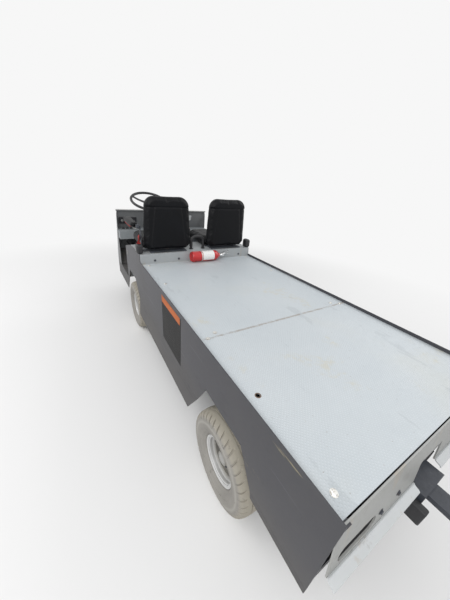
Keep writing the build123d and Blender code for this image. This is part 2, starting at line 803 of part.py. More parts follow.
battery_width = 460
battery_height = 285
with BuildPart() as battery:
    with Locations((sum(battery_x) / 2, 0, rail_top_z + seat_gap + battery_height / 2)):
        Box(battery_x[1] - battery_x[0], battery_width, battery_height)
save(battery.part, "battery_pack")

# Wheels: a pressed steel rim with a dished disc and hub, and a tyre closed at its beads
bead_gap = 0.3
crown_half = 48
wheel_places = (
    ("front_left", front_axle_x, front_wheel_y, 1),
    ("front_right", front_axle_x, front_wheel_y, -1),
    ("rear_left", rear_axle_x, rear_wheel_y, 1),
    ("rear_right", rear_axle_x, rear_wheel_y, -1),
)
drop_r = rim_seat_r - 14
rim_half = rim_width / 2
tyre_r = tyre_od / 2
disc_out = 6
hub_out = 30
for place, place_x, place_y, sign in wheel_places:
    centre = Vector(place_x, sign * place_y, axle_z)
    profile_plane = Plane(origin=centre, x_dir=(1, 0, 0), z_dir=(0, 0, sign))
    spin_axis = Axis(centre, (0, sign, 0))
    with BuildPart() as rim:
        with BuildSketch(profile_plane):
            with BuildLine():
                Polyline(
                    (rim_flange_r, -rim_half),
                    (rim_flange_r, -rim_half + rim_wall),
                    (rim_seat_r, -rim_half + rim_wall),
                    (rim_seat_r, -18),
                    (drop_r, -10),
                    (drop_r, 14),
                    (rim_seat_r, 22),
                    (rim_seat_r, rim_half - rim_wall),
                    (rim_flange_r, rim_half - rim_wall),
                    (rim_flange_r, rim_half),
                    (rim_seat_r - rim_wall, rim_half),
                    (rim_seat_r - rim_wall, 22),
                    (drop_r - rim_wall, 14),
                    (drop_r - rim_wall, disc_out),
                    (hub_r + 16, disc_out - 14),
                    (hub_r, disc_out - 14),
                    (hub_r, hub_out),
                    (0, hub_out),
                    (0, 8 + running_gap),
                    (spindle_r + running_gap, 8 + running_gap),
                    (spindle_r + running_gap, hub_out - hub_length - 24),
                    (hub_r, hub_out - hub_length - 24),
                    (hub_r, disc_out - 14 - rim_disc),
                    (hub_r + 16, disc_out - 14 - rim_disc),
                    (drop_r - rim_wall, disc_out - rim_disc),
                    (drop_r - rim_wall, -10),
                    (rim_seat_r - rim_wall, -18),
                    (rim_seat_r - rim_wall, -rim_half),
                    close=True,
                )
            make_face()
        revolve(axis=spin_axis)
    save(rim.part, f"rim_{place}")
    with BuildPart() as tyre:
        with BuildSketch(profile_plane):
            with BuildLine() as tyre_line:
                bead_half = rim_half - rim_wall - bead_gap
                bead_r = rim_seat_r + bead_gap
                lip_r = rim_flange_r + bead_gap
                wall_half = tyre_width / 2
                Line((bead_r, bead_half), (bead_r, -bead_half))
                Line((bead_r, -bead_half), (lip_r, -bead_half))
                ThreePointArc((lip_r, -bead_half), ((lip_r + tyre_r) / 2, -wall_half), (tyre_r - 16, -crown_half - 14))
                ThreePointArc((tyre_r - 16, -crown_half - 14), (tyre_r, 0), (tyre_r - 16, crown_half + 14))
                ThreePointArc((tyre_r - 16, crown_half + 14), ((lip_r + tyre_r) / 2, wall_half), (lip_r, bead_half))
                Line((lip_r, bead_half), (bead_r, bead_half))
            make_face()
        revolve(axis=spin_axis)
    save(tyre.part, f"tyre_{place}")

# Pedals: bent plates that stand on the floor ahead of the toe board
pedal_gap = 75
pedals = (("brake_pedal", 345, 80), ("accelerator_pedal", 205, 56))
for label, pedal_y, pedal_width in pedals:
    with BuildPart() as pedal:
        with BuildSketch(Plane.XZ.offset(-pedal_y)):
            with BuildLine():
                pedal_x = toe_start_x - pedal_gap
                Polyline(
                    (pedal_x, floor_z + seat_gap),
                    (pedal_x, floor_z + 40),
                    (pedal_x + 60, floor_z + 110),
                    (pedal_x + 66, floor_z + 105),
                    (pedal_x + 8, floor_z + 37),
                    (pedal_x + 8, floor_z + seat_gap),
                    close=True,
                )
            make_face()
        extrude(amount=pedal_width / 2, both=True)
    save(pedal.part, label)

# Fire extinguisher: a bottle lying across the deck against the riser, and its valve head
bottle_r = 54
bottle_foot_y = 118
bottle_neck_y = -178
bottle_shoulder = 46
neck_r = 15
bottle_x = deck_front_x - sheet - seat_gap - bottle_r
bottle_z = deck_z + seat_gap + bottle_r
bottle_plane = Plane(origin=(bottle_x, 0, bottle_z), x_dir=(1, 0, 0), z_dir=(0, 0, 1))
bottle_axis = Axis((bottle_x, 0, bottle_z), (0, 1, 0))
with BuildPart() as bottle:
    with BuildSketch(bottle_plane):
        with BuildLine():
            Line((0, bottle_foot_y), (bottle_r - 12, bottle_foot_y))
            JernArc((bottle_r - 12, bottle_foot_y), (1, 0), 12, -90)
            Line((bottle_r, bottle_foot_y - 12), (bottle_r, bottle_neck_y + bottle_shoulder))
            Spline(
                (bottle_r, bottle_neck_y + bottle_shoulder),
                (bottle_r * 0.72, bottle_neck_y + 12),
                (neck_r, bottle_neck_y),
                tangents=((0, -1), (-1, -0.35)),
            )
            Line((neck_r, bottle_neck_y), (0, bottle_neck_y))
            Line((0, bottle_neck_y), (0, bottle_foot_y))
        make_face()
    revolve(axis=bottle_axis)
save(bottle.part, "extinguisher_bottle")

valve_body = 34
lever_length = 92
with BuildPart() as valve:
    with BuildSketch(Plane.XZ.offset(-(bottle_neck_y - seat_gap))):
        with Locations((bottle_x, bottle_z)):
            Circle(neck_r - 1)
    extrude(amount=valve_body)
    with Locations((bottle_x, bottle_neck_y - valve_body * 0.6, bottle_z)):
        Box(26, 24, 46)
    with BuildSketch(Plane.YZ.offset(bottle_x - 8)):
        with BuildLine():
            lever_y = bottle_neck_y - valve_body * 0.6
            Polyline(
                (lever_y + 10, bottle_z + 20),
                (lever_y - lever_length, bottle_z + 34),
                (lever_y - lever_length, bottle_z + 30),
                (lever_y + 10, bottle_z + 12),
                close=True,
            )
            Polyline(
                (lever_y + 10, bottle_z - 4),
                (lever_y - lever_length, bottle_z + 6),
                (lever_y - lever_length, bottle_z + 2),
                (lever_y + 10, bottle_z - 12),
                close=True,
            )
        make_face()
    extrude(amount=16)
save(valve.part, "extinguisher_valve")
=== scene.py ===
import math
from functools import partialmethod

import bmesh
import bpy
import numpy as np
from mathutils import Matrix, Vector
from mathutils.geometry import tessellate_polygon


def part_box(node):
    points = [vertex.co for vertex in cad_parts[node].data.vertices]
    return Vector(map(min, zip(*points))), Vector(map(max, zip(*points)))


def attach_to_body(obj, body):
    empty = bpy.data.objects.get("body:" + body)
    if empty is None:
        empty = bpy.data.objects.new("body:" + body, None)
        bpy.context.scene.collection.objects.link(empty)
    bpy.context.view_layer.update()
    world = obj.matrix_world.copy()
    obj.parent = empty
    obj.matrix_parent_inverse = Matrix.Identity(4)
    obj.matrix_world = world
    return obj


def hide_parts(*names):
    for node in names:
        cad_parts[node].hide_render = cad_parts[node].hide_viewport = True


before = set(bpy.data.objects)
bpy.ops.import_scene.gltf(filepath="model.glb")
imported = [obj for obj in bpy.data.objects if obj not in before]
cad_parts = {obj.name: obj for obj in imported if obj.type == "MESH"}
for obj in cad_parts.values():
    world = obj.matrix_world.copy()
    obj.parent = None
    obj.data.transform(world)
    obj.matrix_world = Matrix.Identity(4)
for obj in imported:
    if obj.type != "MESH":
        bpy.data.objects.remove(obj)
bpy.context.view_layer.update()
print("frame loaded:", len(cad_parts), "nodes")


def nodeBox(node):
    # the low and high corner of a CAD node
    low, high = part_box(node)
    return np.array(low, float), np.array(high, float)


def nodeMiddle(node):
    return sum(nodeBox(node)) / 2


def nodeSize(node):
    low, high = nodeBox(node)
    return high - low


deckLow, deckHigh = nodeBox("deck_plate_rear")
deckTop = deckHigh[2]
skirtFoot, sideTop = (corner[2] for corner in nodeBox("body_side_left"))
riserX = nodeBox("seat_box")[0][0]
signs = (-1, 1)


# mesh helpers: each makes a piece of one name and one finish, in metres

def mm(*points):
    # points typed in millimetres
    return np.array(points, float) / 1000


def bothSides(values):
    return (*values, *(-v for v in values))


def putMesh(name, finish, points, faces, sharp=None):
    # a smooth mesh at the origin, its doubled points merged, its faces turned outwards and its edges sharper
    # than the angle kept
    mesh = bpy.data.meshes.new(name)
    mesh.from_pydata(np.asarray(points, float).tolist(), [], faces)
    mesh.polygons.foreach_set("use_smooth", np.full(len(mesh.polygons), True))
    mesh.update()
    piece = bpy.data.objects.new(name, mesh)
    bpy.context.scene.collection.objects.link(piece)
    work = bmesh.new()
    work.from_mesh(mesh)
    bmesh.ops.remove_doubles(work, verts=work.verts, dist=1e-6)
    bmesh.ops.recalc_face_normals(work, faces=work.faces)
    work.to_mesh(mesh)
    work.free()
    if sharp:
        mesh.set_sharp_from_angle(angle=math.radians(sharp))
    return dress(piece, finish) if finish else piece


def surface(name, finish, grid, closed=False, caps=False, sharp=None):
    # a grid of points (rows, columns, 3) as quads whose columns wrap round, and whose rows do too if closed,
    # with its first and last rows capped if asked
    grid = np.asarray(grid, float)
    rows, columns = grid.shape[:2]
    r, c = np.meshgrid(np.arange(rows - 1 + closed), np.arange(columns), indexing="ij")
    after, beside = (r + 1) % rows * columns, (c + 1) % columns
    quads = np.stack([r * columns + c, r * columns + beside, after + beside, after + c], -1)
    faces = quads.reshape(-1, 4).tolist()
    if caps:
        faces += [list(range(columns))[::-1], [(rows - 1) * columns + i for i in range(columns)]]
    return putMesh(name, finish, grid.reshape(-1, 3), faces, sharp)


def joinPieces(name, parts):
    # one object from several, keeping their materials
    bpy.ops.object.select_all(action="DESELECT")
    for part in parts:
        part.select_set(True)
    bpy.context.view_layer.objects.active = parts[0]
    bpy.ops.object.join()
    parts[0].name = parts[0].data.name = name
    return parts[0]


def turned(name, finish, profile, centre, axis, segments=64, sharp=35):
    # a profile of (radius, along) turned about an axis through the centre, closed on itself unless it begins
    # on the axis: p = centre + radius (cos t u + sin t v) + along axis
    axis = np.asarray(axis, float) / np.linalg.norm(axis)
    side = np.cross(axis, (0.0, 0.0, 1.0) if abs(axis[2]) < 0.9 else (1.0, 0.0, 0.0))
    side /= np.linalg.norm(side)
    t = np.linspace(0, 2 * math.pi, segments, endpoint=False)[None, :, None]
    radius, along = np.asarray(profile, float).T[:, :, None, None]
    grid = np.asarray(centre) + radius * (np.cos(t) * side + np.sin(t) * np.cross(axis, side)) + along * axis
    return surface(name, finish, grid, closed=radius[0, 0, 0] > 0, sharp=sharp)


def smoothPath(points, steps):
    # Catmull-Rom curve through the points: each span is a cubic of its four neighbours
    p = np.asarray(points, float)
    p = np.vstack([2 * p[0] - p[1], p, 2 * p[-1] - p[-2]])
    t = np.linspace(0, 1, steps, endpoint=False)[:, None]
    spans = [
        0.5 * (2 * b + (c - a) * t + (2 * a - 5 * b + 4 * c - d) * t ** 2 + (3 * b - a - 3 * c + d) * t ** 3)
        for a, b, c, d in zip(p[:-3], p[1:-2], p[2:-1], p[3:])
    ]
    return np.vstack(spans + [p[-2]])


def carried(name, finish, path, section, up=(0, 0, 1), sharp=35, scale=1.0):
    # a closed section of (across, up) carried along a path, kept upright by the up vector and scaled on its way
    path, section = np.asarray(path, float), np.asarray(section, float)
    ahead = np.gradient(path, axis=0)
    ahead /= np.linalg.norm(ahead, axis=1, keepdims=True)
    across = np.cross(ahead, np.asarray(up, float))
    across /= np.linalg.norm(across, axis=1, keepdims=True)
    rise = np.cross(across, ahead)
    grow = np.broadcast_to(scale, len(path))[:, None, None]
    grid = path[:, None] + grow * (section[:, :1] * across[:, None] + section[:, 1:] * rise[:, None])
    return surface(name, finish, grid, caps=True, sharp=sharp)


def ring(radius, sides):
    t = np.linspace(0, 2 * math.pi, sides, endpoint=False)
    return np.stack([radius * np.cos(t), radius * np.sin(t)], -1)


def arc(x, y, radius, steps, quarter=0):
    # a quarter of a circle about (x, y)
    t = np.linspace(0, math.pi / 2, steps) + quarter * math.pi / 2
    return np.stack([x + radius * np.cos(t), y + radius * np.sin(t)], -1)


def roundRect(width, height, radius, steps=5):
    # a rectangle with arcs of the radius at its corners, counter-clockwise
    w, h = width / 2 - radius, height / 2 - radius
    return np.vstack([arc(x, y, radius, steps, quarter)
                      for x, y, quarter in ((w, h, 0), (-w, h, 1), (-w, -h, 2), (w, -h, 3))])


def roundBlock(name, finish, centre, size, radius, axis="z"):
    # a rounded rectangle carried along z or y, shrinking by quarter circles at its two ends:
    # inset = radius (1 - sin t), height = half - radius (1 - cos t)
    order = (2, 0, 1) if axis == "y" else (0, 1, 2)
    wide, high, deep = (size[i] for i in order)
    t = np.linspace(0, math.pi / 2, 5)
    inset = np.concatenate([radius * (1 - np.sin(t)), radius * (1 - np.cos(t))])
    level = np.concatenate([-deep / 2 + radius * (1 - np.cos(t)), deep / 2 - radius * (1 - np.sin(t))])
    shrink = 1 - inset[:, None, None] / np.array([wide / 2, high / 2])
    rows = roundRect(wide, high, radius * 1.02)[None] * shrink
    grid = np.empty(rows.shape[:2] + (3,))
    for i, values in zip(order, (rows[..., 0], rows[..., 1], level[:, None])):
        grid[..., i] = values + centre[i]
    return surface(name, finish, grid, caps=True, sharp=50)


def hexHead(name, finish, centre, axis, across, height):
    # a hexagon bolt head on a round washer, both turned about the axis
    r = across / math.sqrt(3)
    head = [(0, 0), (r, 0), (r, height * 0.75), (r * 0.82, height), (0, height)]
    washer = [(0, 0), (r * 1.35, 0), (r * 1.35, height * 0.22), (0, height * 0.22)]
    return joinPieces(name, [turned(name, finish, head, centre, axis, 6, 20),
                             turned(name + "Washer", finish, washer, centre, axis, 20)])


def boltSet(name, finish, spots, axis, across, height):
    return joinPieces(name, [hexHead(f"{name}{i}", finish, spot, axis, across, height)
                             for i, spot in enumerate(spots)])


def holedPlate(name, finish, loops, thick, place, sharp=35):
    # a flat plate from its outer loop and its holes in (u, v); place maps u, v and the depth w to points
    flat = np.vstack(loops)
    count = len(flat)
    front = tessellate_polygon([[Vector((u, v, 0)) for u, v in loop] for loop in loops])
    points = np.vstack([place(flat[:, 0], flat[:, 1], w) for w in (0.0, thick)])
    faces = [list(t) for t in front] + [[i + count for i in t[::-1]] for t in front]
    start = 0
    for loop in loops:
        n = len(loop)
        faces += [[start + i, start + (i + 1) % n, start + (i + 1) % n + count, start + i + count]
                  for i in range(n)]
        start += n
    return putMesh(name, finish, points, faces, sharp)


def pointsOf(mesh):
    points = np.empty(len(mesh.vertices) * 3, np.float32)
    mesh.vertices.foreach_get("co", points)
    return points.reshape(-1, 3).astype(float)


def setPoints(mesh, points):
    mesh.vertices.foreach_set("co", points.astype(np.float32).ravel())
    mesh.update()


def markPoints(piece, name, values):
    # a number for each point, or one for all, read by the materials as the attribute of that name
    layer = piece.data.attributes.new(name, "FLOAT", "POINT")
    layer.data.foreach_set("value", np.broadcast_to(values, len(piece.data.vertices)).astype(np.float32))


def dress(piece, finish):
    piece.data.materials.clear()
    piece.data.materials.append(finishes[finish])
    return piece


def attach(piece, node=None, body="chassis"):
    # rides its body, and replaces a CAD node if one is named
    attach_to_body(piece, body)
    if node:
        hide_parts(node)
    return piece


def fit(name, parts, node=None, body="chassis"):
    return attach(joinPieces(name, parts), node, body)


# shader helpers

class Link:
    # a socket that adds Math nodes when it is used in an expression
    def __init__(self, maker, socket):
        self.maker = maker
        self.socket = socket

    def apply(self, operation, *others):
        return self.maker.node("ShaderNodeMath", {"operation": operation}, [self, *others])

    __add__ = __radd__ = partialmethod(apply, "ADD")
    __mul__ = __rmul__ = partialmethod(apply, "MULTIPLY")
    __sub__ = partialmethod(apply, "SUBTRACT")
    __pow__ = partialmethod(apply, "POWER")
    least = partialmethod(apply, "MINIMUM")
    most = partialmethod(apply, "MAXIMUM")
    sine = partialmethod(apply, "SINE")
    size = partialmethod(apply, "ABSOLUTE")

    def __rsub__(self, other):
        return self.maker.node("ShaderNodeMath", {"operation": "SUBTRACT"}, [other, self])

    def above(self, edge, soft):
        # 0 below edge, 1 above edge + soft, with a smooth step between
        return self.maker.node("ShaderNodeMapRange", {"interpolation_type": "SMOOTHSTEP"},
                               {"Value": self, "From Min": edge, "From Max": edge + soft})

    def below(self, edge, soft):
        return 1 - self.above(edge, soft)


class Maker:
    # adds nodes to a tree that starts with its output
    def __init__(self, tree, output):
        tree.nodes.clear()
        self.tree = tree
        self.out = tree.nodes.new(output)

    def node(self, kind, settings, inputs, output=0):
        # a new node, or its output as a link
        made = self.tree.nodes.new(kind)
        for key, value in settings.items():
            setattr(made, key, value)
        for key, value in inputs.items() if isinstance(inputs, dict) else enumerate(inputs):
            if isinstance(value, Link):
                self.tree.links.new(value.socket, made.inputs[key])
            else:
                made.inputs[key].default_value = value
        return made if output is None else Link(self, made.outputs[output])

    def show(self, shader):
        self.tree.links.new(shader.socket, self.out.inputs[0])


class Finish(Maker):
    # one material: over() lays colours over its ground colour, shade() makes its shader
    def __init__(self, name, colour=None):
        self.material = bpy.data.materials.new(name)
        self.material.use_nodes = True
        super().__init__(self.material.node_tree, "ShaderNodeOutputMaterial")
        self.colour = colour
        self.place = self.node("ShaderNodeTexCoord", {}, {}, "Object")
        parts = self.node("ShaderNodeSeparateXYZ", {}, [self.place], None)
        self.x, self.y, self.z = (Link(self, parts.outputs[i]) for i in range(3))

    def noise(self, scale, detail=4.0, rough=0.55, stretch=None, twist=0.0):
        vector = self.place
        if stretch:
            vector = self.node("ShaderNodeVectorMath", {"operation": "MULTIPLY"}, [self.place, stretch])
        return self.node("ShaderNodeTexNoise", {}, {
            "Vector": vector, "Scale": scale, "Detail": detail, "Roughness": rough, "Distortion": twist})

    def mark(self, name):
        # the numbers that markPoints gave the points
        return self.node("ShaderNodeAttribute", {"attribute_name": name}, {}, "Fac")

    def over(self, factor, colour):
        ground = self.colour if isinstance(self.colour, Link) else (*self.colour, 1.0)
        inputs = {0: factor, 6: ground, 7: (*colour, 1.0)}
        self.colour = self.node("ShaderNodeMix", {"data_type": "RGBA"}, inputs, 2)

    def bump(self, height, distance, strength=1.0):
        return self.node("ShaderNodeBump", {}, {"Height": height, "Distance": distance, "Strength": strength},
                         "Normal")

    def shade(self, **sockets):
        values = {key.replace("_", " "): value for key, value in sockets.items()}
        self.show(self.node("ShaderNodeBsdfPrincipled", {}, {"Base Color": self.colour, **values}))
        return self.material


print("helpers ready")


# finishes

def tint(colour, factor, most=1.0):
    # a colour times one factor, or one for each channel, and no brighter than most
    return tuple(np.minimum(np.multiply(colour, factor), most).tolist())


def panelPaint(name, colour, dust, edgeHigh):
    # satin paint: dusted low down and by two noises, streaked, scratched and rubbed yellow by stretched noise,
    # smudged by slow noise, and painted light grey and metallic where height, shifted by both noises, passes the
    # edge: a painted highlight along the rolled top edge, with bare-metal wear
    f = Finish(name, colour)
    cloud = f.noise(2.2, 5, 0.6)
    grain = f.noise(60, 3, 0.5)
    streak = f.noise(9, 4, 0.7, stretch=(0.25, 1, 6)).above(0.60, 0.10)
    scratch = f.noise(40, 2, 0.4, stretch=(0.05, 1, 3)).above(0.70, 0.02) * 0.5
    dusty = (f.z.below(skirtFoot + 0.06, 0.26) * 0.55 + cloud.above(0.50, 0.25) * 0.30) * (grain * 0.6 + 0.5)
    f.over(dusty.least(0.8), dust)
    f.over(streak * 0.30, tint(colour, 0.60))
    f.over(scratch, tint(colour, 2.4, 0.8))
    rubs = f.noise(5.5, 6, 0.75, stretch=(0.35, 1, 4), twist=0.4).above(0.66, 0.03) * f.noise(1.3).above(0.5, 0.1)
    f.over(rubs * 0.55, (0.42, 0.36, 0.20))
    f.over(f.noise(3.1, 5, 0.7, stretch=(0.8, 1, 1.6)).above(0.60, 0.12) * 0.5, tint(colour, 0.45))
    # the top band: a painted highlight on the rolled edge, together with bare-metal wear
    wear = (f.z + (cloud - 0.5) * 0.010 + (grain - 0.5) * 0.004).above(edgeHigh, 0.0015)
    f.over(wear, (0.50, 0.50, 0.49))
    return f.shade(Roughness=0.42 + dusty * 0.3 + grain * 0.06 - scratch * 0.1, Metallic=wear * 0.6,
                   Normal=f.bump(grain * 0.3 + cloud, 0.0006, 0.35))


def treadPlate(name, dark, pale):
    # tread plate of small raised bars, height = size of sine(x + y) sine(x - y), cloudy between two shades,
    # stained, scuffed and specked where noises are high, and rusty at the seam and before the riser
    f = Finish(name, dark)
    wave = lambda v: (v * (2 * math.pi / 0.026)).sine()
    bars = (wave(f.x + f.y) * wave(f.x - f.y)).size().above(0.62, 0.25)
    cloud = f.noise(1.7, 6, 0.62)
    fine = f.noise(26, 5, 0.65)
    rust = (f.noise(3.3, 5, 0.6, twist=0.6).above(0.60, 0.10) * fine.above(0.42, 0.2)).least(1.0)
    scuff = f.noise(7, 6, 0.7, stretch=(0.35, 1, 1)).above(0.60, 0.05)
    speck = f.noise(130, 2, 0.5).above(0.72, 0.04)
    f.over(cloud, pale)
    f.over(bars * 0.22, tint(pale, 1.25, 0.9))
    f.over(f.noise(1.1, 4, 0.6).above(0.50, 0.22) * 0.40, tint(pale, (1.0, 0.94, 0.80)))
    f.over(rust * 0.42, tint(pale, (0.95, 0.82, 0.58)))
    f.over(scuff * 0.20, tint(dark, 0.6))
    f.over(speck * 0.5, (0.22, 0.17, 0.13))
    seam = (f.x - deckHigh[0] + (fine - 0.5) * 0.006).size().below(0.003, 0.009) * fine.above(0.38, 0.2)
    f.over(seam * 0.5, (0.26, 0.19, 0.13))
    edge = (f.x - riserX + 0.05 + (cloud - 0.5) * 0.12).above(0.0, 0.06) * fine.above(0.40, 0.15)
    f.over(edge * 0.35, tint(pale, (0.80, 0.66, 0.46)))
    return f.shade(Roughness=0.50 + fine * 0.16 - bars * 0.12, Metallic=0.15,
                   Normal=f.bump(bars + fine * 0.15, 0.0010, 0.8))


def paleSheet(name, colour, level=0.3):
    # light painted steel: cloudy colour, rust runs from stretched noise and dark handling marks
    f = Finish(name, tint(colour, 0.86))
    cloud = f.noise(6, 5, 0.6)
    grain = f.noise(90, 3, 0.5)
    runs = f.noise(22, 4, 0.6, stretch=(1, 1, 0.2)).above(0.60, 0.08)
    marks = f.noise(12, 6, 0.7).above(0.58, 0.06)
    f.over(cloud, tint(colour, 1.08))
    f.over(runs * level, (0.40, 0.33, 0.24))
    f.over(marks * level, (0.22, 0.21, 0.20))
    return f.shade(Roughness=0.44 + grain * 0.18, Metallic=0.1, Normal=f.bump(grain + cloud * 2, 0.0005, 0.4))


def darkMetal(name, colour, worn, rough=0.46):
    # dark enamel on steel, worn grey in patches of noise, with a little rust dust
    f = Finish(name, colour)
    patch = f.noise(28, 6, 0.7)
    grain = f.noise(160, 2, 0.5)
    bare = patch.above(0.60, 0.05)
    f.over(patch, tint(colour, 2.2))
    f.over(bare * 0.55, worn)
    f.over(f.noise(9, 5, 0.6).above(0.62, 0.1) * 0.35, (0.20, 0.13, 0.08))
    return f.shade(Roughness=rough + grain * 0.2, Metallic=bare * 0.7, Normal=f.bump(grain + patch, 0.0006, 0.5))


def vinyl(name, colour):
    # vinyl: pebble grain from small cells, greyer where slow noise is high
    f = Finish(name, colour)
    pebble = f.node("ShaderNodeTexVoronoi", {"feature": "F1"}, {"Vector": f.place, "Scale": 420}, "Distance")
    cloud = f.noise(5, 4, 0.6)
    f.over(cloud.above(0.45, 0.4) * 0.5, tint(colour, 2.2))
    f.over(f.noise(70, 3, 0.6).above(0.66, 0.06) * 0.12, (0.05, 0.05, 0.05))
    return f.shade(Roughness=0.42 + cloud * 0.16, Specular_IOR_Level=0.18, Normal=f.bump(pebble, 0.0004, 0.6))


def plastic(name, colour, rough):
    # moulded plastic: even colour with a fine spark texture and light scuffs
    f = Finish(name, colour)
    spark = f.noise(500, 2, 0.5)
    scuff = f.noise(40, 5, 0.7).above(0.62, 0.05)
    f.over(scuff * 0.25, tuple(min(c * 4 + 0.05, 1) for c in colour))
    return f.shade(Roughness=rough + spark * 0.15, Normal=f.bump(spark, 0.0003, 0.4))


def rubber(name):
    # dusty tyre rubber: cloudy grey side wall with a scuffed pale band, tan dried mud on the tread, dark spots
    f = Finish(name, (0.195, 0.187, 0.172))
    tread = f.mark("wear")
    cloud = f.noise(8, 5, 0.6)
    grain = f.noise(120, 4, 0.6)
    band = f.mark("band")
    f.over(cloud, (0.32, 0.305, 0.28))
    f.over(band * 0.5, (0.40, 0.385, 0.35))
    f.over(tread * (grain * 0.5 + 0.60), (0.335, 0.308, 0.25))
    f.over(f.noise(35, 5, 0.7).above(0.60, 0.08) * 0.4, (0.09, 0.085, 0.08))
    return f.shade(Roughness=0.82 + grain * 0.12, Normal=f.bump(grain, 0.0012, 0.6))


def wheelSilver(name):
    # silver wheel paint, bright on the flange and brown with dust in the dish
    f = Finish(name, (0.52, 0.52, 0.52))
    dish = f.mark("wear")
    cloud = f.noise(30, 5, 0.6)
    f.over(cloud, (0.70, 0.70, 0.69))
    f.over(dish * (cloud * 0.5 + 0.65), (0.25, 0.24, 0.215))
    return f.shade(Roughness=0.30 + cloud * 0.25, Metallic=0.55, Normal=f.bump(cloud, 0.0006, 0.4))


def plated(name, colour, rough):
    # bright plated metal, finely scratched and spotted
    f = Finish(name, colour)
    fine = f.noise(220, 3, 0.6)
    spots = f.noise(45, 5, 0.7).above(0.60, 0.05)
    f.over(spots * 0.5, (0.26, 0.21, 0.16))
    return f.shade(Roughness=rough + fine * 0.15 + spots * 0.3, Metallic=0.95, Normal=f.bump(fine, 0.0002, 0.3))


def gloss(name, colour):
    # glossy enamel with a few chips and dull patches
    f = Finish(name, tint(colour, 0.8))
    cloud = f.noise(14, 4, 0.6)
    chips = f.noise(90, 4, 0.7).above(0.70, 0.03)
    f.over(cloud, colour)
    f.over(chips * 0.7, (0.30, 0.28, 0.26))
    return f.shade(Roughness=0.22 + cloud * 0.12 + chips * 0.3, Coat_Weight=0.3,
                   Normal=f.bump(cloud, 0.0004, 0.3))


def printedLabel(name):
    # a generic printed label: rows of blurred grey print from a sine of height, broken into words by noise
    f = Finish(name, (0.80, 0.80, 0.78))
    rows = (f.z * (2 * math.pi / 0.011)).sine().above(0.2, 0.3)
    words = f.noise(60, 3, 0.6, stretch=(1, 2.5, 1)).above(0.50, 0.05)
    f.over(rows * words * 0.6, (0.45, 0.46, 0.48))
    return f.shade(Roughness=0.45 + f.noise(80) * 0.1, Normal=f.bump(words, 0.0001, 0.2))


def clearLens(name, colour):
    # moulded lens over a bright bowl: fine ribs, a sine across, and a clear coat over them
    f = Finish(name, colour)
    ribs = (f.y * 900.0).sine()
    f.over(f.noise(30) * 0.5, tint(colour, 0.8))
    return f.shade(Roughness=0.16 + f.noise(90) * 0.06, Metallic=0.5, Coat_Weight=0.8,
                   Normal=f.bump(ribs, 0.0006, 0.5))


def webbing(name, colour):
    # woven belt: the product of two crossed sines as the weave
    f = Finish(name, tint(colour, 0.6))
    weave = (f.z * 2600).sine() * ((f.x + f.y) * 2600).sine()
    f.over(weave * 0.5 + 0.5, colour)
    return f.shade(Roughness=0.75 + f.noise(50) * 0.1, Normal=f.bump(weave, 0.0005, 0.7))


finishes = {
    # the top band of the side and cowl paints, above edgeHigh, is a painted highlight with bare-metal wear
    "side": panelPaint("sidePaint", (0.040, 0.040, 0.047), (0.120, 0.115, 0.108), sideTop - 0.0015),
    "cowl": panelPaint("cowlPaint", (0.155, 0.160, 0.165), (0.24, 0.235, 0.225),
                       nodeBox("cowl_shell")[1][2] - 0.006),
    "deck": treadPlate("deckTread", (0.42, 0.465, 0.497), (0.54, 0.572, 0.592)),
    "floor": treadPlate("floorTread", (0.045, 0.046, 0.050), (0.095, 0.095, 0.097)),
    "pale": paleSheet("palePaint", (0.36, 0.38, 0.39)),
    "dash": paleSheet("dashPaint", (0.24, 0.26, 0.27), 0.2),
    # bumper plate and lip: one pale paint in two copies, the plate's darker as painted shade, the lip's lighter
    # as a painted highlight
    "bumper": paleSheet("bumperPaintedShade", (0.33, 0.335, 0.325), 0.35),
    "lip": paleSheet("bumperLipPaintedHighlight", (0.58, 0.60, 0.61), 0.25),
    "steel": darkMetal("darkSteel", (0.028, 0.031, 0.038), (0.16, 0.165, 0.175)),
    "frame": darkMetal("framePaint", (0.014, 0.014, 0.016), (0.10, 0.10, 0.10), 0.5),
    "rust": paleSheet("rustStain", (0.14, 0.095, 0.068), 0.4),
    "vinyl": vinyl("seatVinyl", (0.0026, 0.0029, 0.0040)),
    "black": plastic("blackPlastic", (0.016, 0.016, 0.018), 0.45),
    "rubber": rubber("tyreRubber"),
    "wheel": wheelSilver("wheelSilver"),
    "plated": plated("brightPlate", (0.66, 0.65, 0.62), 0.22),
    "zinc": plated("zincPlate", (0.36, 0.355, 0.345), 0.34),
    "chrome": plated("chromePlate", (0.80, 0.80, 0.80), 0.08),
    "red": gloss("extinguisherRed", (0.52, 0.018, 0.02)),
    "label": printedLabel("paleLabel"),
    "lens": clearLens("lampLens", (0.80, 0.82, 0.85)),
    "belt": webbing("redBelt", (0.42, 0.035, 0.03)),
    "orange": plastic("orangeTape", (0.42, 0.105, 0.022), 0.6),
    "decal": vinyl("darkDecal", (0.009, 0.0085, 0.0085)),
}
print("finishes made:", len(finishes))

# the CAD nodes that stay in sight
nodeFinish = {
    "frame": ("chassis_frame", "front_bumper", "steering_column", "front_axle", "rear_axle"),
    "side": ("body_side_left", "body_side_right"), "deck": ("deck_plate_front", "deck_plate_rear"),
    "pale": ("seat_box",), "floor": ("floor_pan",), "cowl": ("cowl_shell",), "dash": ("dash_panel",),
    "steel": ("tow_hitch", "seat_frame_driver", "seat_frame_passenger", "knuckle_left", "knuckle_right",
              "drive_motor", "brake_pedal", "accelerator_pedal"),
    "black": ("battery_pack",), "plated": ("tie_rod",),
}
for finish, nodes in nodeFinish.items():
    for node in nodes:
        dress(bpy.data.objects[node], finish)
print("nodes dressed:", sum(len(nodes) for nodes in nodeFinish.values()))


# camera, floor and light

cameraData = {"place": (-1.637, 0.992, deckTop + 0.707), "yaw": -32.8, "pitch": -26.4, "roll": 5.4, "lens": 14.39}


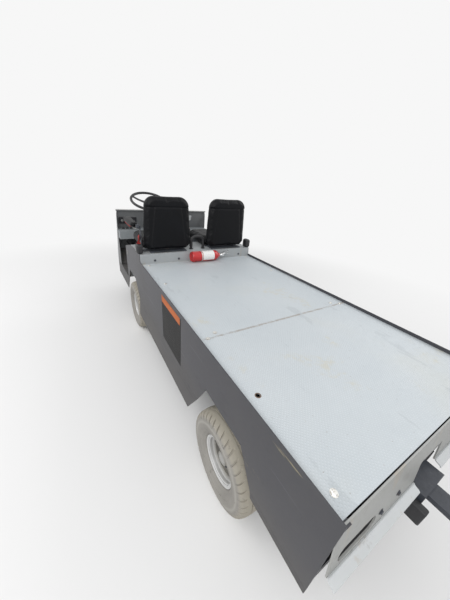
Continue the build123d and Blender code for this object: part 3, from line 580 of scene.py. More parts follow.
def makeCamera(settings):
    yaw, pitch, roll = (math.radians(settings[k]) for k in ("yaw", "pitch", "roll"))
    ahead = Vector((math.cos(pitch) * math.cos(yaw), math.cos(pitch) * math.sin(yaw), math.sin(pitch)))
    right = Vector((math.sin(yaw), -math.cos(yaw), 0.0))
    up = right.cross(ahead)
    side = right * math.cos(roll) + up * math.sin(roll)
    top = up * math.cos(roll) - right * math.sin(roll)
    data = bpy.data.cameras.new("viewCamera")
    data.lens = settings["lens"]
    data.sensor_fit = "AUTO"
    data.sensor_width = 36
    data.clip_end = 60
    camera = bpy.data.objects.new("viewCamera", data)
    turn = Matrix((side, top, -ahead)).transposed()
    camera.matrix_world = Matrix.Translation(settings["place"]) @ turn.to_4x4()
    bpy.context.scene.collection.objects.link(camera)
    bpy.context.scene.camera = camera


makeCamera(cameraData)
bpy.context.scene.view_settings.view_transform = "Standard"


def backdropMix(maker, plain, bright, extra=None):
    # camera, glossy and transmitted rays see the bright shader, as far as extra lets them, others the plain one
    path = maker.node("ShaderNodeLightPath", {}, {}, None)
    seen = [Link(maker, path.outputs[f"Is {ray} Ray"]) for ray in ("Camera", "Glossy", "Transmission")]
    factor = seen[0].most(seen[1]).most(seen[2])
    if extra:
        factor = factor * extra
    maker.show(maker.node("ShaderNodeMixShader", {}, [factor, plain, bright]))


lighting = {
    "world": 0.62, "backdrop": 0.93, "floor": (0.80, 0.80, 0.80, 1.0), "floorFade": (2.6, 2.4),
    "floorRadii": (0.0, 3.0, 30.0), "floorDrop": 0.0005,
    "lamps": (
        # place, target, size, watts
        ((-3.2, 3.0, 4.2), (0.2, 0.0, 0.5), 3.5, 150),
        ((2.5, 3.8, 3.6), (0.2, 0.0, 0.4), 3.0, 80),
        ((-0.5, -4.2, 4.0), (0.0, 0.0, 0.5), 3.5, 80),
    ),
}


def makeStage(settings):
    world = bpy.data.worlds.new("studio")
    world.use_nodes = True
    bpy.context.scene.world = world
    sky = Maker(world.node_tree, "ShaderNodeOutputWorld")
    glow = {"Color": (settings["backdrop"],) * 3 + (1.0,), "Strength": 1.0}
    plain = {"Color": (1.0, 1.0, 1.0, 1.0), "Strength": settings["world"]}
    backdropMix(sky, *(sky.node("ShaderNodeBackground", {}, inputs) for inputs in (plain, glow)))

    # a disc whose edge fades into the backdrop with the distance from the middle
    floor = turned("studioFloor", None, [(r, 0.0) for r in settings["floorRadii"]],
                   (0, 0, -settings["floorDrop"]), (0, 0, 1), 96)
    made = Finish("studioFloor")
    diffuse = made.node("ShaderNodeBsdfDiffuse", {}, {"Color": settings["floor"]})
    bright = made.node("ShaderNodeEmission", {}, glow)
    distance = ((made.x * made.x) + (made.y * made.y)) ** 0.5
    backdropMix(made, diffuse, bright, distance.above(*settings["floorFade"]))
    floor.data.materials.append(made.material)
    for i, (place, target, size, watts) in enumerate(settings["lamps"]):
        data = bpy.data.lights.new(f"softLamp{i}", "AREA")
        data.size = size
        data.energy = watts
        lamp = bpy.data.objects.new(f"softLamp{i}", data)
        lamp.location = place
        lamp.rotation_euler = (Vector(target) - Vector(place)).to_track_quat("-Z", "Y").to_euler()
        bpy.context.scene.collection.objects.link(lamp)


makeStage(lighting)
print("camera and studio ready")


# tyres and wheels

wheelPlaces = {
    place: (*nodeMiddle(f"tyre_{place}"), 1 if place.endswith("left") else -1)
    for place in ("front_left", "front_right", "rear_left", "rear_right")
}
tyreWide, tyreReach = nodeSize("tyre_rear_left")[1], nodeSize("tyre_rear_left")[2] / 2
rimReach = nodeSize("rim_rear_left")[2] / 2
tyre = {
    # across and radius from the bead to the crown, as drawn: this wide, over this bead and with this wall
    "wide": 0.1434, "bead": 0.115, "wall": 0.117,
    "outer": mm(
        (44.5, 115.8), (48.5, 118), (52, 119.5), (55, 124.5), (56.2, 129), (60, 132), (64, 142), (67, 151),
        (67.6, 153), (69.2, 154), (71, 164), (71.7, 174), (71.4, 184), (70.6, 190), (69.4, 191.5), (69, 196),
        (68.3, 201.5), (66.8, 207.5), (64, 213.5), (59.5, 219), (53, 223.5), (45, 226.5), (37, 228.5),
        (30, 229.8), (23, 230.8), (19.5, 231.1), (18.5, 227), (15, 227), (14, 231.4), (7, 231.8), (0, 232)),
    "inner": mm((0, 214), (45, 209), (60, 185), (58, 150), (42, 124), (37, 115.8)),
    "lugs": 38, "lugShare": 0.84, "lean": 2.0, "middle": 0.007,
    # the grooves begin this far across and up, and reach their depth within the soft stretch
    "depth": 0.0060, "from": 0.042, "fromRadius": 0.845, "soft": 0.009,
}


def wheelName(kind, place):
    return kind + place.title().replace("_", "")


def makeTyre(place, settings):
    # the closed section turned about the axle; on the tread the radius drops by the depth wherever the lug
    # wave, a step of the angle, is in its groove, and each column is turned on a little to lean the lugs
    x, y, z, side = wheelPlaces[place]
    lugs, edge = settings["lugs"], settings["lugShare"]
    outer, inner = settings["outer"], settings["inner"]
    outer = np.vstack([outer, outer[-2::-1] * (-1, 1)])
    section = np.vstack([outer, inner[::-1] * (-1, 1), inner[1:]])
    across, radius = section.T
    across = across * tyreWide / settings["wide"]
    radius = rimReach + (radius - settings["bead"]) * (tyreReach - rimReach) / settings["wall"]
    away, inside = np.abs(across), np.arange(len(section)) >= len(outer)
    share = np.array([0.0, 0.04, edge * 0.35, edge * 0.7, edge - 0.04, edge, (1 + edge) / 2, 0.98])
    turn = ((np.arange(lugs)[:, None] + share) / lugs * 2 * math.pi).ravel()
    groove = np.tile(np.array([1, 0, 0, 0, 0, 1, 1, 1.0]), lugs)[:, None]
    reach = np.clip((away - settings["from"]) / settings["soft"], 0, 1)
    reach = reach * np.clip((radius - settings["fromRadius"] * tyreReach) / settings["soft"], 0, 1)
    depth = settings["depth"] * reach * (~inside)
    shift = np.where(across > 0, 0.5, 0.0) * 2 * math.pi / lugs * np.clip(away / settings["middle"], 0, 1)
    angle = turn[:, None] + (away * settings["lean"] + shift)
    r = radius - groove * depth
    sideways = across - groove * np.sign(across) * depth * 0.5
    grid = np.stack([x + r * np.cos(angle), y + sideways, z + r * np.sin(angle)], -1)
    piece = surface(wheelName("tyre", place) + "Tread", "rubber", grid, closed=True, sharp=38)
    points = pointsOf(piece.data)
    far = np.hypot(points[:, 0] - x, points[:, 2] - z) / tyreReach
    markPoints(piece, "wear", np.clip((far - 0.86) / 0.07, 0, 1) * np.where(far < 0.972, 0.8, 1.0))
    markPoints(piece, "band", np.exp(-(((far - 0.80) / 0.028) ** 2)))
    attach(piece, f"tyre_{place}", f"wheel_{place}")


rim = {
    # radius and place along the axle, outwards, as drawn for this reach; beyond the dish it is stretched
    "reach": 0.115, "dish": 0.070, "dishSoft": 0.012,
    "section": mm(
        (115, 48.5), (114.6, 50), (112.5, 50), (109, 49), (106, 47), (103.5, 44), (101, 41), (98.5, 39),
        (98, 34), (98, 23), (96, 21), (86, 14.5), (84.2, 12), (84, 0), (83.5, -7), (80, -8), (64, -8.2),
        (60, -7.8), (57.5, -6.5), (54.5, -3), (52, 1), (50, 2), (38, 2), (36.2, 3), (36, 5), (36, 24),
        (35, 27), (33, 28.5), (30, 29.5), (15, 30), (0, 30), (0, 24), (33, 24), (33, -4), (52, -4),
        (60, -13.5), (80, -13.5), (80, -14), (84.5, -16), (98, -20), (98, -49), (113, -50), (115, -49.5),
        (115, -47), (113, -46), (102, -46), (102, -19), (88, -11), (88, 13), (102, 22.5), (102, 45.5),
        (113, 46.5)),
    "nut": mm((0, 0), (10.5, 0), (10.5, 9.5), (8.8, 12), (5.2, 12), (5.2, 16.5), (0, 17.5)),
    "vent": mm((0, 0), (6.8, 0), (7.2, 0.7), (8.6, 0.7), (9.4, 0)),
    "valve": mm((0, 0), (5.2, 0), (4.6, 6), (3.4, 8), (3.4, 20), (4, 20.5), (4, 26), (3, 27.5), (0, 27.5)),
    "patterns": (
        # kind, count, shift, circle, height, finish, segments, wear, sharp
        ("nut", 5, 0.25, 0.0445, 0.0018, "steel", 6, 0.5, 20),
        ("vent", 4, 0.5, 0.071, -0.0079, "frame", 18, 1.0, 35),
    ),
    "valveTurn": 0.9, "valveInset": 0.022, "valveUp": 0.0170, "valveLean": (-0.45, 0.89),
}


def makeRim(place, settings):
    # the closed section turned about the axle, with nuts and vents on circles and a leaning valve
    x, y, z, side = wheelPlaces[place]
    name = wheelName("rim", place)
    section = settings["section"].copy()
    stretch = np.clip((section[:, 0] - settings["dish"]) / settings["dishSoft"], 0, 1)
    section[:, 0] += stretch * (rimReach - settings["reach"])
    body = turned(name, "wheel", section, (x, y, z), (0, side, 0), 80, 32)
    points = pointsOf(body.data)
    far = np.hypot(points[:, 0] - x, points[:, 2] - z)
    inDish = np.clip((rimReach - 0.016 - far) / 0.006, 0, 1)
    markPoints(body, "wear", inDish * np.clip((far - 0.020) / 0.012, 0.55, 1))
    parts = [body]

    def add(kind, t, circle, up, axis, finish, segments, wear, sharp=35):
        spot = (x + circle * math.cos(t), y + side * up, z + circle * math.sin(t))
        parts.append(turned(name + kind, finish, settings[kind], spot, axis, segments, sharp))
        markPoints(parts[-1], "wear", wear)

    for kind, count, shift, circle, up, *looks in settings["patterns"]:
        for i in range(count):
            add(kind, 2 * math.pi * (i + shift) / count, circle, up, (0, side, 0), *looks)
    t, (lean, out) = settings["valveTurn"], settings["valveLean"]
    add("valve", t, rimReach - settings["valveInset"], settings["valveUp"],
        (lean * math.cos(t), side * out, lean * math.sin(t)), "black", 14, 0.0)
    fit(name + "Wheel", parts, f"rim_{place}", f"wheel_{place}")


for place in wheelPlaces:
    makeTyre(place, tyre)
    makeRim(place, rim)
print("wheels made")


# seats

seatPlaces = {seat: nodeMiddle(f"seat_base_{seat}")[1] for seat in ("driver", "passenger")}
seatMiddle = seatPlaces["driver"]
baseLow, baseHigh = nodeBox("seat_base_driver")
backLow, backHigh = nodeBox("seat_back_driver")
seatHalf = (baseHigh[1] - baseLow[1]) / 2 + 0.004
seatRoom = np.array([0.0, 0.0065, 0.0])
cushion = {
    "frames": 20, "pressure": 4.0, "cap": 0.014, "voxel": 0.0065, "quality": 5, "fill": 0.8,
    "base": {
        "x": (baseLow[0] + 0.008, baseHigh[0] - 0.008), "half": seatHalf, "foot": baseLow[2] + 0.003,
        "corner": 0.05, "channels": 0.125, "crossing": 0.085, "grooveDepth": 0.008, "grooveWide": 0.005,
        # scale, inset and height of each ring
        "rows": ((0.02, 0, 0.0), (0.5, 0, 0.0), (1, 0.020, 0.0), (1, 0.007, 0.006), (1, 0.0, 0.020),
                 (1, 0.0, 0.045), (1, 0.004, 0.062), (1, 0.016, 0.074), (1, 0.040, 0.0795), (0.6, 0, 0.080),
                 (0.3, 0, 0.080), (0.02, 0, 0.080)),
    },
    "back": {
        "x": (backLow[0] + 0.016, backHigh[0] - 0.008), "foot": backLow[2] + 0.001, "top": backHigh[2] - 0.005,
        "half": seatHalf, "topHalf": seatHalf - 0.020, "corner": 0.086,
        "channels": 0.118, "crossing": 0.129, "grooveDepth": 0.007, "grooveWide": 0.0045,
    },
    "panel": {"foot": backLow[2] + 0.014, "seam": backHigh[2] - 0.100, "footHalf": 0.158, "topHalf": 0.112,
              "sink": 0.004, "raise": 0.010, "roll": 0.007, "seamDepth": 0.0045, "seamWide": 0.0035},
}


def closedForm(name, outline, rows, place):
    # rings of one star-shaped outline: each is scaled, drawn in by its inset and set at its own height,
    # and the two end rings shrink to the middle
    far = np.linalg.norm(outline, axis=1, keepdims=True)
    grid = np.array([np.hstack([outline * scale * (1 - inset / far), np.full((len(outline), 1), height)])
                     for scale, inset, height in rows])
    return surface(name, None, place(grid), caps=True)


def puff(piece, settings):
    # the cushion recipe: voxel remesh, cloth under pressure with no gravity, each point's move capped
    scene = bpy.context.scene
    bpy.ops.object.select_all(action="DESELECT")
    piece.select_set(True)
    bpy.context.view_layer.objects.active = piece
    piece.data.remesh_voxel_size = settings["voxel"]
    bpy.ops.object.voxel_remesh()
    before = pointsOf(piece.data)
    cloth = piece.modifiers.new("swell", "CLOTH")
    cloth.settings.use_pressure = True
    cloth.settings.uniform_pressure_force = settings["pressure"]
    cloth.settings.effector_weights.gravity = 0
    cloth.settings.quality = settings["quality"]
    cloth.point_cache.frame_start = 1
    cloth.point_cache.frame_end = settings["frames"]
    for step in range(1, settings["frames"] + 1):
        scene.frame_set(step)
    solved = piece.evaluated_get(bpy.context.evaluated_depsgraph_get())
    move = pointsOf(solved.data) - before
    far = np.linalg.norm(move, axis=1, keepdims=True)
    move *= np.minimum(1, settings["cap"] / np.maximum(far, 1e-9))
    piece.modifiers.remove(cloth)
    scene.frame_set(1)
    setPoints(piece.data, before + move)


def softStep(v):
    v = np.clip(v, 0, 1)
    return v * v * (3 - 2 * v)


def groove(v, wide):
    return np.exp(-((v / wide) ** 2))


def keepInside(piece, coordinates, low, high):
    # the cushion stays in the box of its node, a little wider at its sides
    setPoints(piece.data, np.clip(np.stack(coordinates, -1), low - seatRoom, high + seatRoom))


def carveBack(piece, settings, panel):
    # after the swelling: the rear gets a raised panel that narrows upwards and a seam under the top roll,
    # and the front two upright channels and one across
    x, y, z = pointsOf(piece.data).T
    away, wide = np.abs(y - seatMiddle), settings["grooveWide"]
    rear = softStep((backLow[0] + 0.036 - x) / 0.012)
    front = softStep((x - backHigh[0] + 0.024) / 0.012)
    up = np.clip((z - panel["foot"]) / (panel["seam"] - panel["foot"]), 0, 1)
    half = panel["footHalf"] + (panel["topHalf"] - panel["footHalf"]) * up
    inside = softStep((half - away) / 0.010 + 0.5) * softStep((z - panel["foot"]) / 0.010 + 0.5)
    inside *= softStep((panel["seam"] - z) / 0.007)
    roll = softStep((z - panel["seam"]) / 0.012)
    seam = groove(z - panel["seam"], panel["seamWide"])
    x = x + rear * (panel["sink"] - panel["raise"] * inside - panel["roll"] * roll + panel["seamDepth"] * seam)
    channel = groove(away - settings["channels"], wide) * softStep((z - backLow[2] - 0.043) / 0.03)
    crossing = groove(z - backHigh[2] + settings["crossing"], wide)
    x = x - front * settings["grooveDepth"] * np.maximum(channel, crossing)
    keepInside(piece, (x, y, z), backLow + 0.0005, backHigh - 0.0005)


def carveBase(piece, settings):
    # sewn channels on top: two lengthways and one across, and the underside pressed flat on its pan
    x, y, z = pointsOf(piece.data).T
    wide = settings["grooveWide"]
    top = softStep((z - baseHigh[2] + 0.027) / 0.010)
    channel = groove(np.abs(y - seatMiddle) - settings["channels"], wide)
    crossing = groove(x - baseHigh[0] + settings["crossing"], wide)
    z = z - top * settings["grooveDepth"] * np.maximum(channel, crossing)
    keepInside(piece, (x, y, z), baseLow + 0.0005, baseHigh - 0.0002)


def backOutline(settings):
    # half of the back's outline with round top corners, mirrored and spaced evenly
    half, topHalf, foot, top, corner = (settings[k] for k in ("half", "topHalf", "foot", "top", "corner"))
    height = top - foot
    line = np.vstack([[(half - 0.040, foot), (half, foot + 0.040), (half - 0.004, foot + 0.4 * height),
                       (half - 0.010, foot + 0.62 * height), (topHalf + 0.005, top - corner - 0.03)],
                      arc(topHalf - corner, top - corner, corner, 14)])
    ends = np.vstack([line, line[::-1] * (-1, 1), line[:1]])
    steps = np.cumsum(np.r_[0, np.linalg.norm(np.diff(ends, axis=0), axis=1)])
    even = np.linspace(0, steps[-1], 120, endpoint=False)
    return np.stack([np.interp(even, steps, ends[:, i]) for i in range(2)], -1) - (0, foot + height / 2)


def makeSeats(settings):
    base, back = settings["base"], settings["back"]
    outline = roundRect(base["x"][1] - base["x"][0], 2 * base["half"], base["corner"], 10)
    middle = (sum(base["x"]) / 2, seatMiddle, base["foot"])
    lower = closedForm("seatBase", outline, base["rows"], lambda g: g + middle)
    puff(lower, settings)
    carveBase(lower, base)

    middleZ = back["foot"] + (back["top"] - back["foot"]) / 2
    thick = back["x"][1] - back["x"][0]
    rows = [(0.02, 0, 0), (0.5, 0, 0), (1, 0.022, 0), (1, 0.010, 0.004), (1, 0.003, 0.012), (1, 0.0, 0.024),
            (1, 0.0, thick - 0.026), (1, 0.004, thick - 0.014), (1, 0.014, thick - 0.004), (1, 0.030, thick),
            (0.5, 0, thick), (0.02, 0, thick)]
    place = lambda g: np.stack([g[..., 2] + back["x"][0], g[..., 0] + seatMiddle, g[..., 1] + middleZ], -1)
    upper = closedForm("seatBack", backOutline(back), rows, place)
    puff(upper, settings)
    carveBack(upper, back, settings["panel"])

    for piece, node in ((lower, "seat_base"), (upper, "seat_back")):
        for seat, where in seatPlaces.items():
            mesh = piece.data.copy()
            setPoints(mesh, pointsOf(mesh) + (0, where - seatMiddle, 0))
            mesh.polygons.foreach_set("use_smooth", np.ones(len(mesh.polygons), bool))
            made = bpy.data.objects.new(f"{piece.name}{seat.title()}", mesh)
            bpy.context.scene.collection.objects.link(made)
            smooth = made.modifiers.new("smooth", "SUBSURF")
            smooth.levels = smooth.render_levels = 1
            attach(dress(made, "vinyl"), f"{node}_{seat}")
        bpy.data.objects.remove(piece)


makeSeats(cushion)
print("seats made")


# steering wheel

wheelTop = {
    "centre": (1.065, 0.300, deckTop + 0.450), "rake": math.radians(22), "radius": 0.172, "grip": 0.0125,
    "fingers": 42, "swell": 0.09, "hubDrop": 0.024,
    # reach and rise of each spoke from the hub, and its section
    "spokes": 3, "spoke": mm((18, 0), (55, 1), (115, 10), (158, 22.5), (168, 23.8)),
    "section": (0.030, 0.0075, 0.0035, 4),
    "hub": mm((0, -28), (19, -28), (20.5, -26.5), (21.5, -14), (24, -11.8), (30, -11), (34, -6), (36, 4),
              (34, 10), (27, 14.5), (26.2, 13.8), (25, 15), (14, 18.5), (0, 19.5)),
}


def makeSteeringWheel(settings):
    # a ring whose section swells in finger grips, radius (1 - swell (1 + cos 42 t) / 2) on its under side,
    # with tapered spokes that curve down to a domed hub
    rake = settings["rake"]
    centre = np.array(settings["centre"])
    ahead = np.array([math.cos(rake), 0, math.sin(rake)])
    side = np.array([0.0, 1.0, 0.0])
    out = np.array([-math.sin(rake), 0, math.cos(rake)])
    t = np.linspace(0, 2 * math.pi, 6 * settings["fingers"], endpoint=False)[:, None]
    s = np.linspace(0, 2 * math.pi, 14, endpoint=False)[None]
    under = np.clip(-np.sin(s), 0, 1)
    r = settings["grip"] * (1 - settings["swell"] * under * (0.5 + 0.5 * np.cos(settings["fingers"] * t)))
    reach, rise = settings["radius"] + r * np.cos(s), r * np.sin(s)
    grid = centre + (reach * np.cos(t))[..., None] * ahead + (reach * np.sin(t))[..., None] * side
    parts = [surface("steeringRing", "black", grid + rise[..., None] * out, closed=True)]
    hub = centre - settings["hubDrop"] * out
    for i in range(settings["spokes"]):
        a = math.pi + 2 * math.pi * i / settings["spokes"]
        way = math.cos(a) * ahead + math.sin(a) * side
        path = smoothPath([hub + way * reach + out * rise for reach, rise in settings["spoke"]], 6)
        grow = np.interp(np.linspace(0, 1, len(path)), [0, 0.4, 1], [1.25, 1.0, 0.85])
        section = roundRect(*settings["section"])
        parts.append(carried(f"steeringSpoke{i}", "black", path, section, out, scale=grow))
    parts.append(turned("steeringHub", "black", settings["hub"], hub, out, 40))
    fit("steeringWheelGrip", parts, "steering_wheel", "steering")


makeSteeringWheel(wheelTop)
print("steering wheel made")


# extinguisher

bottle = {
    "x": nodeBox("extinguisher_bottle")[1][0] - 0.0480, "z": deckTop + 0.0485, "radius": 0.0478,
    "foot": 0.118, "shoulder": -0.130, "neck": -0.178,
    # along the bottle, degrees round it, distances off the shell
    "label": (0.012, -0.104), "labelTurn": (-35, 215), "labelOff": (0.0001, 0.0006),
    "strap": 0.0215, "strapHalf": 0.005, "strapOff": (0.0002, 0.0011),
    "collar": mm((0, 0), (17.5, 0), (18.5, 2), (18.5, 9), (17, 11), (12.5, 12), (12, 20), (0, 20)),
    "gauge": mm((0, 0), (12.5, 0), (13, 2), (13, 8), (11.5, 10), (11, 8.5), (0, 8.5)),
    "levers": (
        # start, bend, end, width
        ("valveHandle", mm((0, -40, 10), (0, -66, 13), (0, -111, 4)), 0.018),
        ("valveLever", mm((0, -34, 18), (0, -60, 28.5), (0, -105, 32.5)), 0.016),
    ),
}


def makeExtinguisher(settings):
    # the shell and its bands turned about the bottle's axis, and a valve with a gauge and two levers
    x, z, r = settings["x"], settings["z"], settings["radius"]
    foot, shoulder, neck = settings["foot"], settings["shoulder"], settings["neck"]
    profile = [(0, foot - 0.012), (0.028, foot - 0.010), (0.036, foot - 0.004), (0.0390, foot),
               (0.0425, foot - 0.0005), (0.0458, foot - 0.004), (r - 0.0004, foot - 0.010), (r, foot - 0.018),
               (r, foot - 0.040), (r, 0.0), (r, shoulder + 0.012), (r - 0.0012, shoulder),
               (r - 0.006, shoulder - 0.012), (r - 0.014, shoulder - 0.025), (0.024, shoulder - 0.034),
               (0.0185, shoulder - 0.039), (0.0165, neck + 0.004), (0.0165, neck), (0, neck)]
    body = turned("extinguisherShell", "red", profile, (x, 0.0, z), (0, 1, 0), 72, 40)
    attach(body, "extinguisher_bottle")

    (high, low), (near, off) = settings["label"], settings["labelOff"]
    section = [(high, r + near), (high, r + off), (low, r + off), (low, r + near)]
    wrap = np.linspace(*np.radians(settings["labelTurn"]), 60)
    grid = [[(x + d * math.cos(a), v, z + d * math.sin(a)) for v, d in section] for a in wrap]
    attach(surface("extinguisherLabel", "label", grid, caps=True, sharp=30))
    (near, off), half = settings["strapOff"], settings["strapHalf"]
    section = [(r + near, -half), (r + off, -half), (r + off, half), (r + near, half)]
    strap = turned("extinguisherStrap", "plated", section, (x, settings["strap"], z), (0, 1, 0), 72)
    attach(strap)

    parts = [
        turned("valveCollar", "chrome", settings["collar"], (x, neck - 0.0005, z), (0, -1, 0), 8, 25),
        roundBlock("valveBody", "chrome", (x, neck - 0.036, z + 0.001), (0.024, 0.034, 0.030), 0.004),
        turned("valveGauge", "chrome", settings["gauge"], (x - 0.011, neck - 0.034, z + 0.002), (-1, 0, 0), 28),
    ]
    for name, line, wide in settings["levers"]:
        path = smoothPath(line + (x, neck, z), 8)
        parts.append(carried(name, "chrome", path, roundRect(wide, 0.003, 0.0014, 4)))
    parts.append(turned("valvePin", "chrome", ring(0.0012, 8) + (0.009, 0), (x - 0.017, neck - 0.050, z + 0.014),
                        (0.8, 0.2, 0.3), 24))
    fit("extinguisherValveSet", parts, "extinguisher_valve")


makeExtinguisher(bottle)
print("extinguisher made")


# rear fittings

bumperSheet = {
    # the plate leans back by its run from the deck's edge down to the lip
    "run": 0.027, "foot": 0.014, "headGap": 0.009, "sheet": 0.005, "slotY": 0.446, "slotUp": 0.052,
    "slot": (0.180, 0.056), "notchHalf": 0.089, "notchUp": 0.105, "notchRound": 0.012,
    "lip": mm((0, 4), (-3, -2), (-8, -5), (-21, -9.5), (-23.5, -11.5), (-24.5, -15)),
    # depth and scale of the rings of a pocket
    "pocket": ((0.0052, 1.05), (0.030, 1.0), (0.0305, 0.6), (0.0305, 0.02)),
    "bolts": (0.225, 0.330), "boltUp": 0.060, "boltSize": (0.014, 0.006),
}


def makeBumper(settings):
    # a plate that leans back under the deck's edge, cut by two long slots and the hitch notch, with a turned out
    # lip at its foot, black pockets behind the slots as painted shade and bolts above; the plate is painted in a
    # darker copy of the pale paint as painted shade and the lip in a lighter copy as a painted highlight
    low, high = nodeBox("rear_bumper")
    foot, top = low[2] + settings["foot"], high[2] - 0.002
    half = high[1] - 0.001
    length = math.hypot(settings["run"], top - foot)
    down = np.array([-settings["run"], 0, foot - top]) / length
    inward = np.array([-down[2], 0, down[0]])
    head = np.array([deckLow[0] - settings["headGap"], 0.0, top])

    def place(u, v, w):
        # u across, v up the plate from its foot, w into the vehicle
        u, v = np.asarray(u, float), np.asarray(v, float)
        return head + np.outer(length - v, down) + np.outer(u, (0, 1, 0)) + w * inward

    def slot(sign, grow=1.0):
        wide, tall = settings["slot"]
        return roundRect(wide, tall, tall * 0.48, 9) * grow + (sign * settings["slotY"], settings["slotUp"])

    n, up, r = settings["notchHalf"], settings["notchUp"], settings["notchRound"]
    corner = arc(n - r, up - r, r, 6)
    outer = np.vstack([[(-half, 0), (-n, 0)], corner * (-1, 1), corner[::-1],
                       [(n, 0), (half, 0), (half, length), (-half, length)]])
    # the plate takes the darker copy of the bumper paint: painted shade
    parts = [holedPlate("bumperPlate", "bumper", [outer, *map(slot, signs)], settings["sheet"], place)]
    lip = settings["lip"]
    step = np.gradient(lip, axis=0)
    step /= np.linalg.norm(step, axis=1, keepdims=True)
    back = lip + np.stack([-step[:, 1], step[:, 0]], -1) * -settings["sheet"] * 0.9
    base = place([0.0], [0.0], 0.0)[0]
    # the lip takes the lighter copy of the bumper paint: painted highlight
    for sign in signs:
        rows = [[(base[0] + x, sign * y, base[2] + z) for x, z in np.vstack([lip, back[::-1]])]
                for y in (n, (n + half) / 2, half)]
        parts.append(surface(f"bumperLipPaintedHighlight{sign}", "lip", rows, caps=True, sharp=30))
    fit("rearBumperSheet", parts, "rear_bumper")

    # black cups behind the two slots: painted shade standing in for the dark inside of the slots
    pockets = []
    for sign in signs:
        rows = [place(*slot(sign, grow).T, deep) for deep, grow in settings["pocket"]]
        pockets.append(surface(f"slotPocket{sign}", "black", rows, sharp=35))
    fit("bumperSlotShadePockets", pockets)
    spots = [place([y], [settings["boltUp"]], 0.0)[0] for y in bothSides(settings["bolts"])]
    attach(boltSet("bumperBolts", "steel", spots, -inward, *settings["boltSize"]))


hitch = {
    "pin": 0.032, "ringDrop": 0.0335,
    "ring": mm((14.5, 0), (24, 0), (24, 1.4), (22.5, 2.2), (16, 2.2), (14.5, 1.4)),
    "block": (-0.060, 0.105, 0.030), "blockSize": (0.070, 0.032, 0.075),
    "weld": (-0.012, 0.081, 0.010, -0.006), "bead": 0.0045, "swell": 0.18,
}


def makeHitchDetail(settings):
    # a bright ring for the pin, a rubber block under the tongue and weld beads, radius (1 + swell sin 2.1 i),
    # beside the cheeks
    low, high = nodeBox("tow_hitch")
    spot = (low[0] + settings["pin"], 0, high[2] - settings["ringDrop"])
    attach(turned("hitchPinRing", "plated", settings["ring"], spot, (0, 0, 1), 40))
    x, y, z = settings["block"]
    block = roundBlock("hitchRubber", "black", (high[0] + x, y, low[2] + z), settings["blockSize"], 0.006)
    attach(block)
    x, y, foot, top = settings["weld"]
    swell = 1 + settings["swell"] * np.sin(np.arange(24) * 2.1)
    beads = [carried(f"weld{sign}", "steel", np.linspace((high[0] + x, sign * y, low[2] + foot),
                                                         (high[0] + x, sign * y, high[2] + top), 24),
                     ring(settings["bead"], 8), (1, 0, 0), scale=swell) for sign in signs]
    fit("hitchWelds", beads)


makeBumper(bumperSheet)
makeHitchDetail(hitch)
print("rear fittings made")


# deck fittings

deckFittings = {
    "bolts": ((-1.522, 0.523), (-0.748, 0.462), (-0.781, 0.519), (-0.060, 0.500), (0.360, 0.505)),
    "boltSize": (0.015, 0.0055), "riserBolts": (0.22, 0.44), "riserUp": 0.026, "riserSize": (0.013, 0.005),
    "hole": (-1.175, 0.508), "stain": mm((8.5, 0), (8.5, 0.6), (11.5, 0.5), (13, 0)),
}


def makeDeckFittings(settings):
    spots = [(x, sign * y, deckTop) for x, y in settings["bolts"] for sign in signs]
    attach(boltSet("deckBolts", "plated", spots, (0, 0, 1), *settings["boltSize"]))
    spots = [(riserX, y, deckTop + settings["riserUp"]) for y in bothSides(settings["riserBolts"])]
    attach(boltSet("riserBolts", "steel", spots, (-1, 0, 0), *settings["riserSize"]))
    stain = turned("liftHoleStain", "rust", settings["stain"], (*settings["hole"], deckTop), (0, 0, 1), 40)
    attach(stain)


decal = {
    "y": 0.5702, "rear": -0.545, "front": (-0.200, -0.190), "foot": 0.565 * deckTop, "footRise": 0.006,
    "top": deckTop - 0.012, "strip": 0.048, "stripRear": -0.530, "stripFront": -0.196, "lift": (0.0004, 0.0008),
}


def makeDecal(settings):
    # a plain charcoal panel with an orange strip at its top front corner
    foot, top, rear = settings["foot"], settings["top"], settings["rear"]
    (low, high), y, stripFoot = settings["front"], settings["y"], top - settings["strip"]
    panel = [(rear, foot), (low, foot + settings["footRise"]), (high, top), (rear, top)]
    strip = [(settings["stripRear"], stripFoot), (settings["stripFront"], stripFoot), (high, top),
             (settings["stripRear"], top)]
    for name, finish, outline, lift in (("sideDecal", "decal", panel, settings["lift"][0]),
                                        ("sideDecalStrip", "orange", strip, settings["lift"][1])):
        grid = [[(x, depth, z) for x, z in outline] for depth in (y, y + lift)]
        attach(surface(name, finish, grid, caps=True, sharp=30))


makeDeckFittings(deckFittings)
makeDecal(decal)
print("deck fittings made")


# cab fittings

armPad = {
    "half": 0.033, "thick": 0.022, "round": 0.017, "out": 0.004, "rear": 0.070, "ends": 0.07, "rearScale": 0.84,
    "bracketDrop": 0.0015, "bar": (0.026, 0.0045, 0.0016), "strip": (0.220, 0.056, 0.006), "stripIn": 0.155,
    "pivot": (0.020, -0.012, 0.022),
    "pivotTurn": mm((0, -12), (16.5, -12), (18, -10), (18, 10), (16.5, 12), (0, 12)),
}


